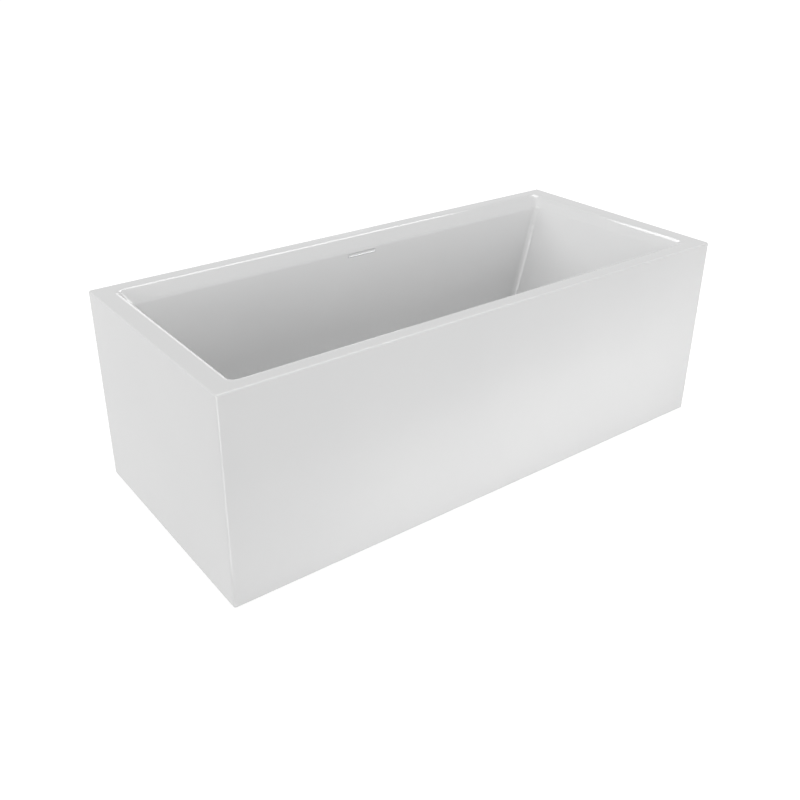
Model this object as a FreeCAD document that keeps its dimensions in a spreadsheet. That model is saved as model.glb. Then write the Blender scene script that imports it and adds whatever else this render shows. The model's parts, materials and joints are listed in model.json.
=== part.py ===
import FreeCAD, Part
import math
import operator
import os
from types import SimpleNamespace

import Sketcher

# Freestanding rectangular bathtub: an inner basin bonded to an outer skirt, on a steel frame with four
# levelling feet, with a push-down plug in the floor and a slot overflow in the back wall.
# X runs along the tub, Y towards the back, Z up; the origin is on the floor under the middle of the tub.

# Driving dimensions in millimetres
SIZES = {
    # Whole tub
    "tub_length": 1700,
    "tub_width": 750,
    "tub_height": 585,
    "skirt_gap": 3,
    # Shells
    "top_round": 4,
    "edge_extra": 2,
    "rim_plate": 6,
    "lip_wall": 6,
    "lip_depth": 20,
    "skirt_wall": 5,
    "flange_plate": 5,
    "flange_width": 30,
    "basin_wall": 7,
    # Basin
    "rim_end": 56,
    "rim_side": 46,
    "shoulder_drop": 33,
    "shoulder_end": 10,
    "shoulder_side": 37,
    "floor_height": 140,
    "backrest_lean": 188,
    "wall_lean": 54,
    "rim_corner": 26,
    "shoulder_corner": 20,
    "floor_corner_extra": 4,
    "rim_round": 14,
    "floor_round": 32,
    # Timber
    "rim_batten_width": 22,
    "skirt_batten_thick": 18,
    "skirt_batten_tall": 40,
    "skirt_batten_rise": 12,
    "base_length": 1120,
    "board_width": 400,
    "board_thick": 18,
    "board_hole": 100,
    # Steel frame
    "tube_side": 30,
    "tube_wall": 2,
    "rail_spacing": 320,
    "cross_inset": 130,
    "cap_plate": 2,
    "cap_plug": 10,
    "frame_screw_inset": 150,
    "frame_screw_thick": 6,
    "frame_screw_bite": 13,
    "frame_head_wide": 12,
    "frame_head_tall": 4,
    # Straps from the frame to the skirt
    "strap_spacing": 600,
    "strap_width": 40,
    "strap_thick": 3,
    "strap_end_gap": 3,
    "strap_screw_thick": 4,
    "strap_screw_long": 14,
    "strap_head_wide": 8,
    "strap_head_tall": 2.5,
    "strap_screw_pitch": 20,
    # Levelling feet
    "foot_inset": 60,
    "foot_offset": 25,
    "plate_width": 56,
    "plate_end": 29,
    "plate_thick": 4,
    "stud_thick": 12,
    "stud_above_plate": 21,
    "stud_chamfer": 1.2,
    "nut_wide": 21,
    "nut_tall": 10,
    "lock_nut_tall": 7,
    "pad_wide": 64,
    "pad_edge": 6,
    "pad_bevel": 1.5,
    "pad_crown": 12,
    "hub_wide": 26,
    "hub_base_wide": 30,
    "hub_tall": 22,
    "pad_sole": 6,
    # Waste in the floor
    "drain_offset": 85,
    "drain_gap": 2.5,
    "recess_wide": 72,
    "recess_depth": 3,
    "upper_gasket_thick": 0.8,
    "lower_gasket_thick": 5,
    "gasket_inset": 1,
    "lower_gasket_wide": 68,
    "flange_gap": 0.5,
    "flange_bevel": 0.8,
    "seat_wall": 1.5,
    "seat_depth": 5,
    "waste_tail_wide": 47,
    "waste_wall": 4.5,
    "waste_tail_long": 38,
    "spider_rise": 4,
    "spider_thick": 8,
    "spider_arm": 4,
    "hub_wall": 3,
    "waste_nut_wide": 74,
    "waste_nut_thick": 8,
    "body_gap": 2,
    "drum_relief": 1,
    "drum_long": 76,
    "body_wall": 3.5,
    "body_collar_rise": 3,
    "body_collar_tall": 8,
    "body_socket": 20,
    "outlet_wide": 40,
    "outlet_wall": 3,
    "outlet_long": 30,
    "outlet_slope": 4,
    # Plug
    "cap_wide": 66,
    "cap_gap": 0.5,
    "cap_edge": 1.6,
    "cap_crown": 4,
    "cap_boss_wide": 12,
    "cap_boss_depth": 6,
    "seal_thick": 4,
    "seal_gap": 0.6,
    "stem_thick": 6,
    "stem_clear": 5,
    "cartridge_wide": 10,
    "cartridge_low": 4,
    "cartridge_high": 12,
    "cartridge_collar_rise": 2,
    "cartridge_collar_tall": 3,
    "cartridge_floor": 3,
    # Overflow
    "overflow_gap": 1,
    "slot_width": 102,
    "slot_height": 10,
    "slot_throat": 7,
    "slot_round": 2,
    "trim_wall": 1.5,
    "trim_lip": 5,
    "trim_round": 4,
    "trim_proud": 1.5,
    "trim_flange": 6,
    "trim_flange_thick": 2,
    "overflow_gasket_thick": 2,
    "box_side": 4.5,
    "box_above": 18,
    "box_below": 34,
    "box_wall": 3,
    "box_inner_round": 2,
    "boss_wide": 16,
    "boss_tall": 8,
    "ear_thick": 3,
    "ear_gap": 1.5,
    "ear_end": 9,
    "ear_tall": 20,
    "ear_screw_thick": 4,
    "ear_screw_bite": 6,
    "ear_head_wide": 8,
    "ear_head_tall": 3,
    # Overflow pipe
    "pipe_wide": 28,
    "pipe_wall": 2.5,
    "pipe_bend": 56,
    "spigot_long": 22,
    "inlet_long": 18,
    "inlet_rise": 2,
    "pipe_nut_wall": 6,
    "pipe_nut_long": 22,
    # Fits
    "running_gap": 0.05,
    "loose_gap": 0.3,
    "overrun": 5,
}
SCREWS_PER_RAIL = 4
SPIDER_ARM_COUNT = 3
HEXAGON_SIDE_COUNT = 6
OCTAGON_SIDE_COUNT = 8
FULL_TURN_DEGREES = 360
QUARTER_TURN_DEGREES = 90

# Corners of the tub, as signs along X and Y
CORNERS = {
    "front_left": (-1, -1),
    "front_right": (1, -1),
    "back_left": (-1, 1),
    "back_right": (1, 1),
}

OPERATORS = {"+": operator.add, "-": operator.sub, "*": operator.mul, "/": operator.truediv}


class Size:
    """A size as an expression on the sheet, with its number for first guesses."""

    def __init__(self, text, number):
        self.text = text
        self.number = float(number)

    def __add__(self, other):
        return joined(self, "+", other)

    def __radd__(self, other):
        return joined(other, "+", self)

    def __sub__(self, other):
        return joined(self, "-", other)

    def __rsub__(self, other):
        return joined(other, "-", self)

    def __mul__(self, other):
        return joined(self, "*", other)

    def __rmul__(self, other):
        return joined(other, "*", self)

    def __truediv__(self, other):
        return joined(self, "/", other)

    def __neg__(self):
        return joined(-1, "*", self)


def as_size(value):
    return value if isinstance(value, Size) else Size(repr(value), value)


def joined(first, sign, second):
    first = as_size(first)
    second = as_size(second)
    text = "(%s %s %s)" % (first.text, sign, second.text)
    return Size(text, OPERATORS[sign](first.number, second.number))


def slope_angle(run, rise):
    ratio = run / rise
    return Size("atan(%s)" % ratio.text, math.degrees(math.atan(ratio.number)))


def sine(angle):
    return Size("sin(%s)" % angle.text, math.sin(math.radians(angle.number)))


def cosine(angle):
    return Size("cos(%s)" % angle.text, math.cos(math.radians(angle.number)))


doc = FreeCAD.newDocument("bathtub")
sheet = doc.addObject("Spreadsheet::Sheet", "sizes")
for row, (alias, number) in enumerate(SIZES.items(), start=1):
    sheet.set("A%d" % row, alias)
    sheet.set("B%d" % row, str(number))
    sheet.setAlias("B%d" % row, alias)
doc.recompute()

s = SimpleNamespace(**{alias: Size("sizes." + alias, number) for alias, number in SIZES.items()})
ZERO = Size("0", 0)
nodes = []

# Levels and half sizes that several pieces share
half_length = s.tub_length / 2
half_width = s.tub_width / 2
lip_low = s.tub_height - s.lip_depth
shoulder_low = s.tub_height - s.shoulder_drop
floor_top = s.floor_height
floor_low = floor_top - s.basin_wall
edge_round = s.top_round + s.edge_extra
floor_corner = s.floor_round + s.floor_corner_extra
board_low = floor_low - s.board_thick
rail_low = board_low - s.tube_side
plate_low = rail_low - s.plate_thick
strap_low = rail_low - s.strap_thick
rail_inner = s.rail_spacing / 2 - s.tube_side / 2
skirt_inner_x = half_length - s.skirt_wall
skirt_inner_y = half_width - s.skirt_wall
batten_low = s.skirt_gap + s.skirt_batten_rise
batten_face = skirt_inner_y - s.skirt_batten_thick

x_rim = half_length - s.rim_end
y_rim = half_width - s.rim_side
x_shoulder = x_rim - s.shoulder_end
y_shoulder = y_rim - s.shoulder_side
wall_rise = shoulder_low - floor_top
outside_stretch = (wall_rise + s.basin_wall) / wall_rise

# Frame of the overflow: origin on the back wall's face, Y down the wall, Z out of the tub
wall_tilt = slope_angle(s.wall_lean, wall_rise)
slot_to_edge = s.slot_height / 2 + s.trim_wall + s.trim_flange
overflow_z = shoulder_low - s.overflow_gap - slot_to_edge
overflow_y = y_shoulder - (shoulder_low - overflow_z) * s.wall_lean / wall_rise
overflow_angle = Size("90 deg + " + wall_tilt.text, QUARTER_TURN_DEGREES + wall_tilt.number)
wall_thick = s.basin_wall * cosine(wall_tilt)
box_front = wall_thick + s.trim_flange_thick + s.overflow_gasket_thick
pipe_nut_wide = s.pipe_wide + 2 * s.pipe_nut_wall
spigot_depth = box_front + pipe_nut_wide / 2
ear_low = wall_thick + s.boss_tall
trim_middle = (s.trim_lip - s.trim_wall) / 2
throat_middle = (s.slot_throat - s.slot_height) / 2
trim_width = s.slot_width + 2 * s.trim_wall
trim_height = s.slot_height + s.trim_wall + s.trim_lip
trim_flange_width = trim_width + 2 * s.trim_flange
trim_flange_height = trim_height + 2 * s.trim_flange
box_width = trim_flange_width + 2 * s.box_side
ear_middle = box_width / 2 + s.ear_gap + s.boss_wide / 2

# Levels of the waste, from the floor down
flange_low = floor_top - s.recess_depth + s.upper_gasket_thick
tail_low = flange_low - s.waste_tail_long
tail = s.waste_tail_wide / 2
waste_bore = tail - s.waste_wall
seat = tail - s.seat_wall
flange_edge = s.recess_wide / 2 - s.flange_gap
waste_nut_low = floor_low - s.lower_gasket_thick - s.waste_nut_thick
body_top = waste_nut_low - s.body_gap
spider_low = tail_low + s.spider_rise
spider_top = spider_low + s.spider_thick
cap_low = floor_top + s.cap_gap
cartridge_low = spider_low - s.cartridge_low
drum_bore = tail + s.running_gap + s.drum_relief
drum = drum_bore + s.body_wall
inlet_reach = drum + s.inlet_long
drum_low = body_top - s.drum_long
bore_low = drum_low + s.outlet_slope
inlet_z = bore_low + s.pipe_wide / 2 + s.inlet_rise


def bind(item, path, size):
    item.setExpression(path, as_size(size).text)


def place(item, x=ZERO, y=ZERO, z=ZERO):
    for axis, size in (("x", x), ("y", y), ("z", z)):
        bind(item, "Placement.Base." + axis, size)


def keep(item, label):
    item.Label = label
    nodes.append(item)
    return item


# Solids from primitives

def box(name, sizes, corner):
    item = doc.addObject("Part::Box", name)
    for side, size in zip(("Length", "Width", "Height"), sizes):
        bind(item, side, size)
    place(item, *corner)
    return item


def cylinder(name, wide, tall, base, tilt=0):
    item = doc.addObject("Part::Cylinder", name)
    item.Placement = FreeCAD.Placement(FreeCAD.Vector(), FreeCAD.Rotation(FreeCAD.Vector(1, 0, 0), tilt))
    bind(item, "Radius", wide / 2)
    bind(item, "Height", tall)
    place(item, *base)
    return item


def prism(name, sides, wide, tall, base):
    item = doc.addObject("Part::Prism", name)
    item.Polygon = sides
    bind(item, "Circumradius", wide / 2)
    bind(item, "Height", tall)
    place(item, *base)
    return item


def fuse(name, pieces):
    item = doc.addObject("Part::MultiFuse", name)
    item.Shapes = pieces
    return item


def cut(name, base, tool):
    item = doc.addObject("Part::Cut", name)
    item.Base = base
    item.Tool = tool
    return item


def group(label, pieces):
    item = doc.addObject("Part::Compound", label)
    item.Links = pieces
    return keep(item, label)


# Bodies from sketches

def new_body(label):
    return keep(doc.addObject("PartDesign::Body", label), label)


def origin_plane(body, role):
    return next(item for item in body.Origin.OriginFeatures if item.Role == role)


def new_sketch(body, name, role="XY_Plane", height=ZERO):
    sketch = body.newObject("Sketcher::SketchObject", name)
    sketch.AttachmentSupport = [(origin_plane(body, role), "")]
    sketch.MapMode = "FlatFace"
    bind(sketch, "AttachmentOffset.Base.z", height)
    return sketch


def overflow_rotation():
    return FreeCAD.Rotation(FreeCAD.Vector(-1, 0, 0), overflow_angle.number)


def overflow_sketch(body, name, depth):
    """A sketch in the overflow's frame for a body that stands in the tub's frame."""
    sketch = new_sketch(body, name)
    sketch.AttachmentOffset = FreeCAD.Placement(FreeCAD.Vector(), overflow_rotation())
    bind(sketch, "AttachmentOffset.Rotation.Angle", overflow_angle)
    bind(sketch, "AttachmentOffset.Base.y", overflow_y + depth * cosine(wall_tilt))
    bind(sketch, "AttachmentOffset.Base.z", overflow_z - depth * sine(wall_tilt))
    return sketch


def place_in_overflow(body):
    body.Placement = FreeCAD.Placement(FreeCAD.Vector(), overflow_rotation())
    bind(body, "Placement.Rotation.Angle", overflow_angle)
    bind(body, "Placement.Base.y", overflow_y)
    bind(body, "Placement.Base.z", overflow_z)


def locate(sketch, edge, end, x=None, y=None):
    """Tie a point of a sketch to its origin, along one or both axes."""
    for kind, axis, size in (("DistanceX", -2, x), ("DistanceY", -1, y)):
        if size is None:
            continue
        if size.number == 0:
            sketch.addConstraint(Sketcher.Constraint("PointOnObject", edge, end, axis))
            continue
        ends = (-1, 1, edge, end) if size.number > 0 else (edge, end, -1, 1)
        length = size if size.number > 0 else -size
        index = sketch.addConstraint(Sketcher.Constraint(kind, *ends, length.number))
        bind(sketch, "Constraints[%d]" % index, length)


def set_radius(sketch, edge, radius):
    index = sketch.addConstraint(Sketcher.Constraint("Radius", edge, radius.number))
    bind(sketch, "Constraints[%d]" % index, radius)


def point(x, y):
    return FreeCAD.Vector(as_size(x).number, as_size(y).number, 0)


def polygon(sketch, points):
    first = len(sketch.Geometry)
    count = len(points)
    for start, end in zip(points, points[1:] + points[:1]):
        sketch.addGeometry(Part.LineSegment(point(*start), point(*end)))
    for step, (x, y) in enumerate(points):
        edge = first + step
        following = first + (step + 1) % count
        sketch.addConstraint(Sketcher.Constraint("Coincident", edge, 2, following, 1))
        locate(sketch, edge, 1, as_size(x), as_size(y))


def rectangle(sketch, x_low, x_high, y_low, y_high):
    polygon(sketch, [(x_low, y_low), (x_high, y_low), (x_high, y_high), (x_low, y_high)])


def centred_rectangle(sketch, width, height, x=ZERO, y=ZERO):
    rectangle(sketch, x - width / 2, x + width / 2, y - height / 2, y + height / 2)


def circle(sketch, wide, x=ZERO, y=ZERO):
    radius = wide / 2
    edge = sketch.addGeometry(Part.Circle(point(x, y), FreeCAD.Vector(0, 0, 1), radius.number))
    set_radius(sketch, edge, radius)
    locate(sketch, edge, 3, x, y)


def rounded_rectangle(sketch, width, height, radius, middle=ZERO):
    """A rectangle with round corners, centred on the sketch's Y axis."""
    half_x = width / 2
    high = middle + height / 2
    low = middle - height / 2
    reach = half_x - radius
    centres = [(reach, high - radius), (-reach, high - radius), (-reach, low + radius), (reach, low + radius)]
    first = len(sketch.Geometry)
    arcs = []
    for step, centre in enumerate(centres):
        ring = Part.Circle(point(*centre), FreeCAD.Vector(0, 0, 1), radius.number)
        start = step * math.pi / 2
        arcs.append(Part.ArcOfCircle(ring, start, start + math.pi / 2))
    for arc, following in zip(arcs, arcs[1:] + arcs[:1]):
        sketch.addGeometry(arc)
        sketch.addGeometry(Part.LineSegment(arc.EndPoint, following.StartPoint))
    top, left, bottom, right = (first + 2 * step + 1 for step in range(4))
    directions = {top: "Horizontal", left: "Vertical", bottom: "Horizontal", right: "Vertical"}
    for line, direction in directions.items():
        following = first + (line - first + 1) % 8
        sketch.addConstraint(Sketcher.Constraint("Tangent", line - 1, 2, line, 1))
        sketch.addConstraint(Sketcher.Constraint("Tangent", line, 2, following, 1))
        sketch.addConstraint(Sketcher.Constraint(direction, line))
        if line != top:
            sketch.addConstraint(Sketcher.Constraint("Equal", first, line - 1))
    set_radius(sketch, first, radius)
    locate(sketch, right, 1, x=half_x)
    locate(sketch, left, 1, x=-half_x)
    locate(sketch, top, 1, y=high)
    locate(sketch, bottom, 1, y=low)


def feature(body, kind, name, sketch):
    item = body.newObject("PartDesign::" + kind, name)
    item.Profile = sketch
    return item


def pad(body, name, sketch, length, reverse=False):
    item = feature(body, "Pad", name, sketch)
    item.Reversed = reverse
    bind(item, "Length", length)
    return item


def pocket(body, name, sketch, length, reverse=False):
    """Cut a sketch into a body, and stop if no face was changed."""
    doc.recompute()
    before = len(body.Shape.Faces)
    item = feature(body, "Pocket", name, sketch)
    item.Reversed = reverse
    bind(item, "Length", length)
    doc.recompute()
    if len(body.Shape.Faces) == before:
        raise RuntimeError("%s cuts nothing in %s" % (name, body.Label))
    return item


def revolve(body, name, points):
    sketch = new_sketch(body, name + "_outline", "XZ_Plane")
    polygon(sketch, points)
    item = feature(body, "Revolution", name, sketch)
    item.ReferenceAxis = (sketch, ["V_Axis"])
    item.Angle = FULL_TURN_DEGREES
    return item


def loft(body, kind, name, sections):
    item = feature(body, kind + "Loft", name, sections[0])
    item.Sections = sections[1:]
    item.Ruled = True
    return item


def level_edges(shape, level, x_reach, y_reach, outside=False):
    """Names of the edges that lie flat at a level, within the reach given or outside it."""
    names = []
    for index, edge in enumerate(shape.Edges, start=1):
        bounds = edge.BoundBox
        if max(abs(bounds.ZMin - level.number), abs(bounds.ZMax - level.number)) > edge.Tolerance * 10:
            continue
        x_far = max(abs(bounds.XMin), abs(bounds.XMax))
        y_far = max(abs(bounds.YMin), abs(bounds.YMax))
        within = x_far < x_reach.number and y_far < y_reach.number
        if within != outside:
            names.append("Edge%d" % index)
    return names


def fillet(body, name, radius, level, x_reach, y_reach, outside=False):
    doc.recompute()
    base = body.Tip
    item = body.newObject("PartDesign::Fillet", name)
    item.Base = (base, level_edges(base.Shape, level, x_reach, y_reach, outside))
    bind(item, "Radius", radius)
    return item


# Basin

def basin_section(body, name, level, grow):
    """One rounded rectangle of the bowl: its inner face, or grown by the wall to its outer face."""
    stretch = outside_stretch if grow.number else as_size(1)
    levels = {
        "rim": (s.tub_height, x_rim, y_rim, s.rim_corner),
        "shoulder": (shoulder_low, x_shoulder, y_shoulder, s.shoulder_corner),
        "floor": (
            shoulder_low - wall_rise * stretch,
            x_shoulder - s.backrest_lean * stretch,
            y_shoulder - s.wall_lean * stretch,
            floor_corner,
        ),
    }
    height, x_half, y_half, corner = levels[level]
    sketch = new_sketch(body, "%s_%s" % (name, level), height=height)
    rounded_rectangle(sketch, 2 * (x_half + grow), 2 * (y_half + grow), corner + grow)
    return sketch


def basin_bowl(body, kind, name, grow):
    rim, shoulder, floor = (basin_section(body, name, level, grow) for level in ("rim", "shoulder", "floor"))
    loft(body, kind, name + "_shoulder_zone", [rim, shoulder])
    loft(body, kind, name + "_wall_zone", [shoulder, floor])


def basin_shell():
    body = new_body("basin_shell")
    rim = new_sketch(body, "rim_outline", height=lip_low)
    rounded_rectangle(rim, s.tub_length, s.tub_width, edge_round)
    pad(body, "rim_block", rim, s.lip_depth)
    hollow = new_sketch(body, "rim_hollow_outline", height=lip_low)
    x_hollow = half_length - s.lip_wall
    y_hollow = half_width - s.lip_wall
    rectangle(hollow, -x_hollow, x_hollow, -y_hollow, y_hollow)
    pocket(body, "rim_hollow", hollow, s.lip_depth - s.rim_plate, reverse=True)
    basin_bowl(body, "Additive", "outside", s.basin_wall)
    bosses = overflow_sketch(body, "boss_outline", ZERO)
    for side in (-1, 1):
        centred_rectangle(bosses, s.boss_wide, s.boss_wide, side * ear_middle)
    pad(body, "overflow_bosses", bosses, ear_low)
    basin_bowl(body, "Subtractive", "cavity", ZERO)
    fillet(body, "rim_rounding", s.rim_round, s.tub_height, x_hollow, y_hollow)
    fillet(body, "floor_rounding", s.floor_round, floor_top, x_shoulder, y_shoulder)
    fillet(body, "underside_rounding", s.floor_round + s.basin_wall, floor_low, x_shoulder, y_shoulder)
    fillet(body, "top_edge_rounding", s.top_round, s.tub_height, x_hollow, y_hollow, outside=True)
    recess = new_sketch(body, "recess_outline", height=floor_top)
    circle(recess, s.recess_wide, y=s.drain_offset)
    pocket(body, "waste_recess", recess, s.recess_depth)
    bore = new_sketch(body, "drain_outline", height=floor_top)
    circle(bore, s.waste_tail_wide + 2 * s.drain_gap, y=s.drain_offset)
    pocket(body, "drain_hole", bore, s.basin_wall + s.overrun)
    slot = overflow_sketch(body, "slot_outline", wall_thick + s.overrun)
    grow = 2 * s.loose_gap
    centred_rectangle(slot, trim_width + grow, trim_height + grow, y=trim_middle)
    pocket(body, "overflow_slot", slot, wall_thick + 2 * s.overrun)
    screws = overflow_sketch(body, "boss_hole_outline", ear_low)
    for side in (-1, 1):
        circle(screws, s.ear_screw_thick + 2 * s.running_gap, side * ear_middle)
    pocket(body, "boss_holes", screws, s.ear_screw_bite + s.loose_gap)


# Skirt and timber

def outer_skirt():
    body = new_body("outer_skirt")
    walls = new_sketch(body, "wall_outline", height=s.skirt_gap)
    rounded_rectangle(walls, s.tub_length, s.tub_width, edge_round)
    pad(body, "walls", walls, lip_low - s.skirt_gap)
    inside = new_sketch(body, "inside_outline", height=s.skirt_gap)
    rectangle(inside, -skirt_inner_x, skirt_inner_x, -skirt_inner_y, skirt_inner_y)
    pocket(body, "inside", inside, lip_low - s.skirt_gap - s.flange_plate, reverse=True)
    opening = new_sketch(body, "opening_outline", height=lip_low)
    x_open = half_length - s.flange_width
    y_open = half_width - s.flange_width
    rectangle(opening, -x_open, x_open, -y_open, y_open)
    pocket(body, "flange_opening", opening, s.flange_plate + s.overrun)


def batten_ring(label, x_half, y_half, thick, tall, low):
    """Four strips round the inside of a rectangle: two long ones, and two short ones between them."""
    strips = {
        "front": (2 * x_half, thick, -x_half, -y_half),
        "back": (2 * x_half, thick, -x_half, y_half - thick),
        "left": (thick, 2 * (y_half - thick), -x_half, thick - y_half),
        "right": (thick, 2 * (y_half - thick), x_half - thick, thick - y_half),
    }
    return {
        side: box("%s_%s" % (label, side), (length, width, tall), (x, y, low))
        for side, (length, width, x, y) in strips.items()
    }


def rim_battens():
    x_half = half_length - s.lip_wall
    y_half = half_width - s.lip_wall
    tall = s.lip_depth - s.rim_plate
    strips = batten_ring("rim_batten", x_half, y_half, s.rim_batten_width, tall, lip_low)
    for side, strip in strips.items():
        keep(strip, "rim_batten_" + side)


def strap_screw_levels():
    middle = batten_low + s.skirt_batten_tall / 2
    return [middle - s.strap_screw_pitch / 2, middle + s.strap_screw_pitch / 2]


def strap_hole(name, x, side, level, face, depth):
    """A hole along Y from a face towards the skirt on one side."""
    wide = s.strap_screw_thick + 2 * s.running_gap
    tilt = -side * QUARTER_TURN_DEGREES
    return cylinder(name + "_hole", wide, depth, (x, side * face, level), tilt)


def skirt_battens():
    thick = s.skirt_batten_thick
    strips = batten_ring("batten_blank", skirt_inner_x, skirt_inner_y, thick, s.skirt_batten_tall, batten_low)
    for side in ("left", "right"):
        keep(strips[side], "skirt_batten_" + side)
    for label, side in (("front", -1), ("back", 1)):
        name = "skirt_batten_" + label
        bite = s.strap_screw_long - s.strap_thick
        holes = [
            strap_hole(name, end * s.strap_spacing / 2, side, level, batten_face, bite)
            for end in (-1, 1) for level in strap_screw_levels()
        ]
        keep(cut(name, strips[label], fuse(name + "_holes", holes)), name)


def frame_screw_places(side):
    """Where the screws go up through one rail, evenly between its ends."""
    last = SCREWS_PER_RAIL - 1
    reach = s.base_length / 2 - s.frame_screw_inset
    y = side * s.rail_spacing / 2
    return [((2 * step / last - 1) * reach, y) for step in range(SCREWS_PER_RAIL)]


def base_board():
    body = new_body("base_board")
    outline = new_sketch(body, "board_outline", height=board_low)
    x_half = s.base_length / 2
    y_half = s.board_width / 2
    rectangle(outline, -x_half, x_half, -y_half, y_half)
    pad(body, "board", outline, s.board_thick)
    opening = new_sketch(body, "waste_opening_outline", height=floor_low)
    circle(opening, s.board_hole, y=s.drain_offset)
    pocket(body, "waste_opening", opening, s.board_thick + s.overrun)
    pilots = new_sketch(body, "pilot_outline", height=board_low)
    for side in (-1, 1):
        for x, y in frame_screw_places(side):
            circle(pilots, s.frame_screw_thick + 2 * s.running_gap, x, y)
    pocket(body, "pilot_holes", pilots, s.frame_screw_bite + s.loose_gap, reverse=True)


# Steel frame

def square_tube(body, name, role, length, height):
    """A square tube centred on its body's origin plane, with its lower face at the height given."""
    section = new_sketch(body, name + "_section", role)
    outer = s.tube_side / 2
    inner = outer - s.tube_wall
    rectangle(section, -outer, outer, height, height + s.tube_side)
    rectangle(section, -inner, inner, height + s.tube_wall, height + s.tube_side - s.tube_wall)
    item = pad(body, name, section, length)
    item.Midplane = True
    return item


def frame_rail(label, side):
    body = new_body("frame_rail_" + label)
    square_tube(body, "tube", "YZ_Plane", s.base_length, rail_low)
    place(body, y=side * s.rail_spacing / 2)
    screws = new_sketch(body, "screw_outline", height=board_low)
    for x, y in frame_screw_places(side):
        circle(screws, s.frame_screw_thick + 2 * s.running_gap, x)
    pocket(body, "screw_holes", screws, s.tube_side + s.overrun)
    straps = new_sketch(body, "strap_screw_outline", height=rail_low)
    for end in (-1, 1):
        circle(straps, s.strap_screw_thick + 2 * s.running_gap, end * s.strap_spacing / 2)
    pocket(body, "strap_screw_holes", straps, s.tube_wall + s.running_gap, reverse=True)


def frame_cross(label, end):
    body = new_body("frame_cross_" + label)
    square_tube(body, "tube", "XZ_Plane", 2 * rail_inner, rail_low)
    place(body, x=end * (s.base_length / 2 - s.cross_inset))


def rail_caps():
    caps = []
    bore = s.tube_side - 2 * s.tube_wall - 2 * s.loose_gap
    step = (s.tube_side - bore) / 2
    for label, (end, side) in CORNERS.items():
        y = side * s.rail_spacing / 2 - s.tube_side / 2
        x_face = end * s.base_length / 2
        x_plate = x_face - s.cap_plate if end < 0 else x_face
        x_plug = x_face if end < 0 else x_face - s.cap_plug
        plate = box("cap_plate", (s.cap_plate, s.tube_side, s.tube_side), (x_plate, y, rail_low))
        plug = box("cap_plug", (s.cap_plug, bore, bore), (x_plug, y + step, rail_low + step))
        caps.append(fuse("rail_cap_" + label, [plate, plug]))
    group("rail_caps", caps)


def frame_screws():
    screws = []
    for side in (-1, 1):
        for x, y in frame_screw_places(side):
            base = (x, y, rail_low - s.frame_head_tall)
            head = prism("screw_head", HEXAGON_SIDE_COUNT, s.frame_head_wide, s.frame_head_tall, base)
            reach = s.tube_side + s.frame_screw_bite
            shank = cylinder("screw_shank", s.frame_screw_thick, reach, (x, y, rail_low))
            screws.append(fuse("frame_screw", [head, shank]))
    group("frame_screws", screws)


def skirt_straps():
    straps = []
    drop_low = batten_low + s.strap_end_gap
    reach = batten_face - rail_inner
    for label, (end, side) in CORNERS.items():
        name = "strap_" + label
        x = end * s.strap_spacing / 2
        x_low = x - s.strap_width / 2
        y_low = rail_inner if side > 0 else -batten_face
        y_drop = batten_face - s.strap_thick if side > 0 else -batten_face
        flat = box(name + "_flat", (s.strap_width, reach, s.strap_thick), (x_low, y_low, strap_low))
        drop_sizes = (s.strap_width, s.strap_thick, rail_low - drop_low)
        drop = box(name + "_drop", drop_sizes, (x_low, y_drop, drop_low))
        wide = s.strap_screw_thick + 2 * s.running_gap
        y_rail = side * s.rail_spacing / 2
        holes = [cylinder(name + "_rail_hole", wide, s.strap_thick, (x, y_rail, strap_low))]
        for level in strap_screw_levels():
            holes.append(strap_hole(name, x, side, level, batten_face - s.strap_thick, s.strap_thick))
        straps.append(cut(name, fuse(name + "_bent", [flat, drop]), fuse(name + "_holes", holes)))
    group("skirt_straps", straps)


def strap_screws():
    screws = []
    for end, side in CORNERS.values():
        x = end * s.strap_spacing / 2
        y_rail = side * s.rail_spacing / 2
        head_low = strap_low - s.strap_head_tall
        head = cylinder("rail_screw_head", s.strap_head_wide, s.strap_head_tall, (x, y_rail, head_low))
        shank = cylinder("rail_screw_shank", s.strap_screw_thick, s.strap_screw_long, (x, y_rail, strap_low))
        screws.append(fuse("rail_screw", [head, shank]))
        face = side * (batten_face - s.strap_thick)
        tilt = side * QUARTER_TURN_DEGREES
        for level in strap_screw_levels():
            head = cylinder("batten_head", s.strap_head_wide, s.strap_head_tall, (x, face, level), tilt)
            shank = cylinder("batten_shank", s.strap_screw_thick, s.strap_screw_long, (x, face, level), -tilt)
            screws.append(fuse("batten_screw", [head, shank]))
    group("strap_screws", screws)


# Levelling feet

def foot_place(corner):
    end, side = corner
    y_reach = s.rail_spacing / 2 + s.tube_side / 2 + s.foot_offset
    return end * (s.base_length / 2 - s.foot_inset), side * y_reach


def foot_plates():
    plates = []
    plate_length = s.tube_side + s.foot_offset + s.plate_end
    for label, corner in CORNERS.items():
        x, y = foot_place(corner)
        y_low = rail_inner if corner[1] > 0 else -rail_inner - plate_length
        sizes = (s.plate_width, plate_length, s.plate_thick)
        plate = box("plate_blank", sizes, (x - s.plate_width / 2, y_low, plate_low))
        hole = cylinder("plate_hole", s.stud_thick + 2 * s.loose_gap, s.plate_thick, (x, y, plate_low))
        plates.append(cut("foot_plate_" + label, plate, hole))
    group("foot_plates", plates)


def hexagon_nut(name, corner, tall, low):
    x, y = foot_place(corner)
    blank = prism(name + "_blank", HEXAGON_SIDE_COUNT, s.nut_wide, tall, (x, y, low))
    bore = cylinder(name + "_bore", s.stud_thick + 2 * s.running_gap, tall, (x, y, low))
    return cut(name, blank, bore)


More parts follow.
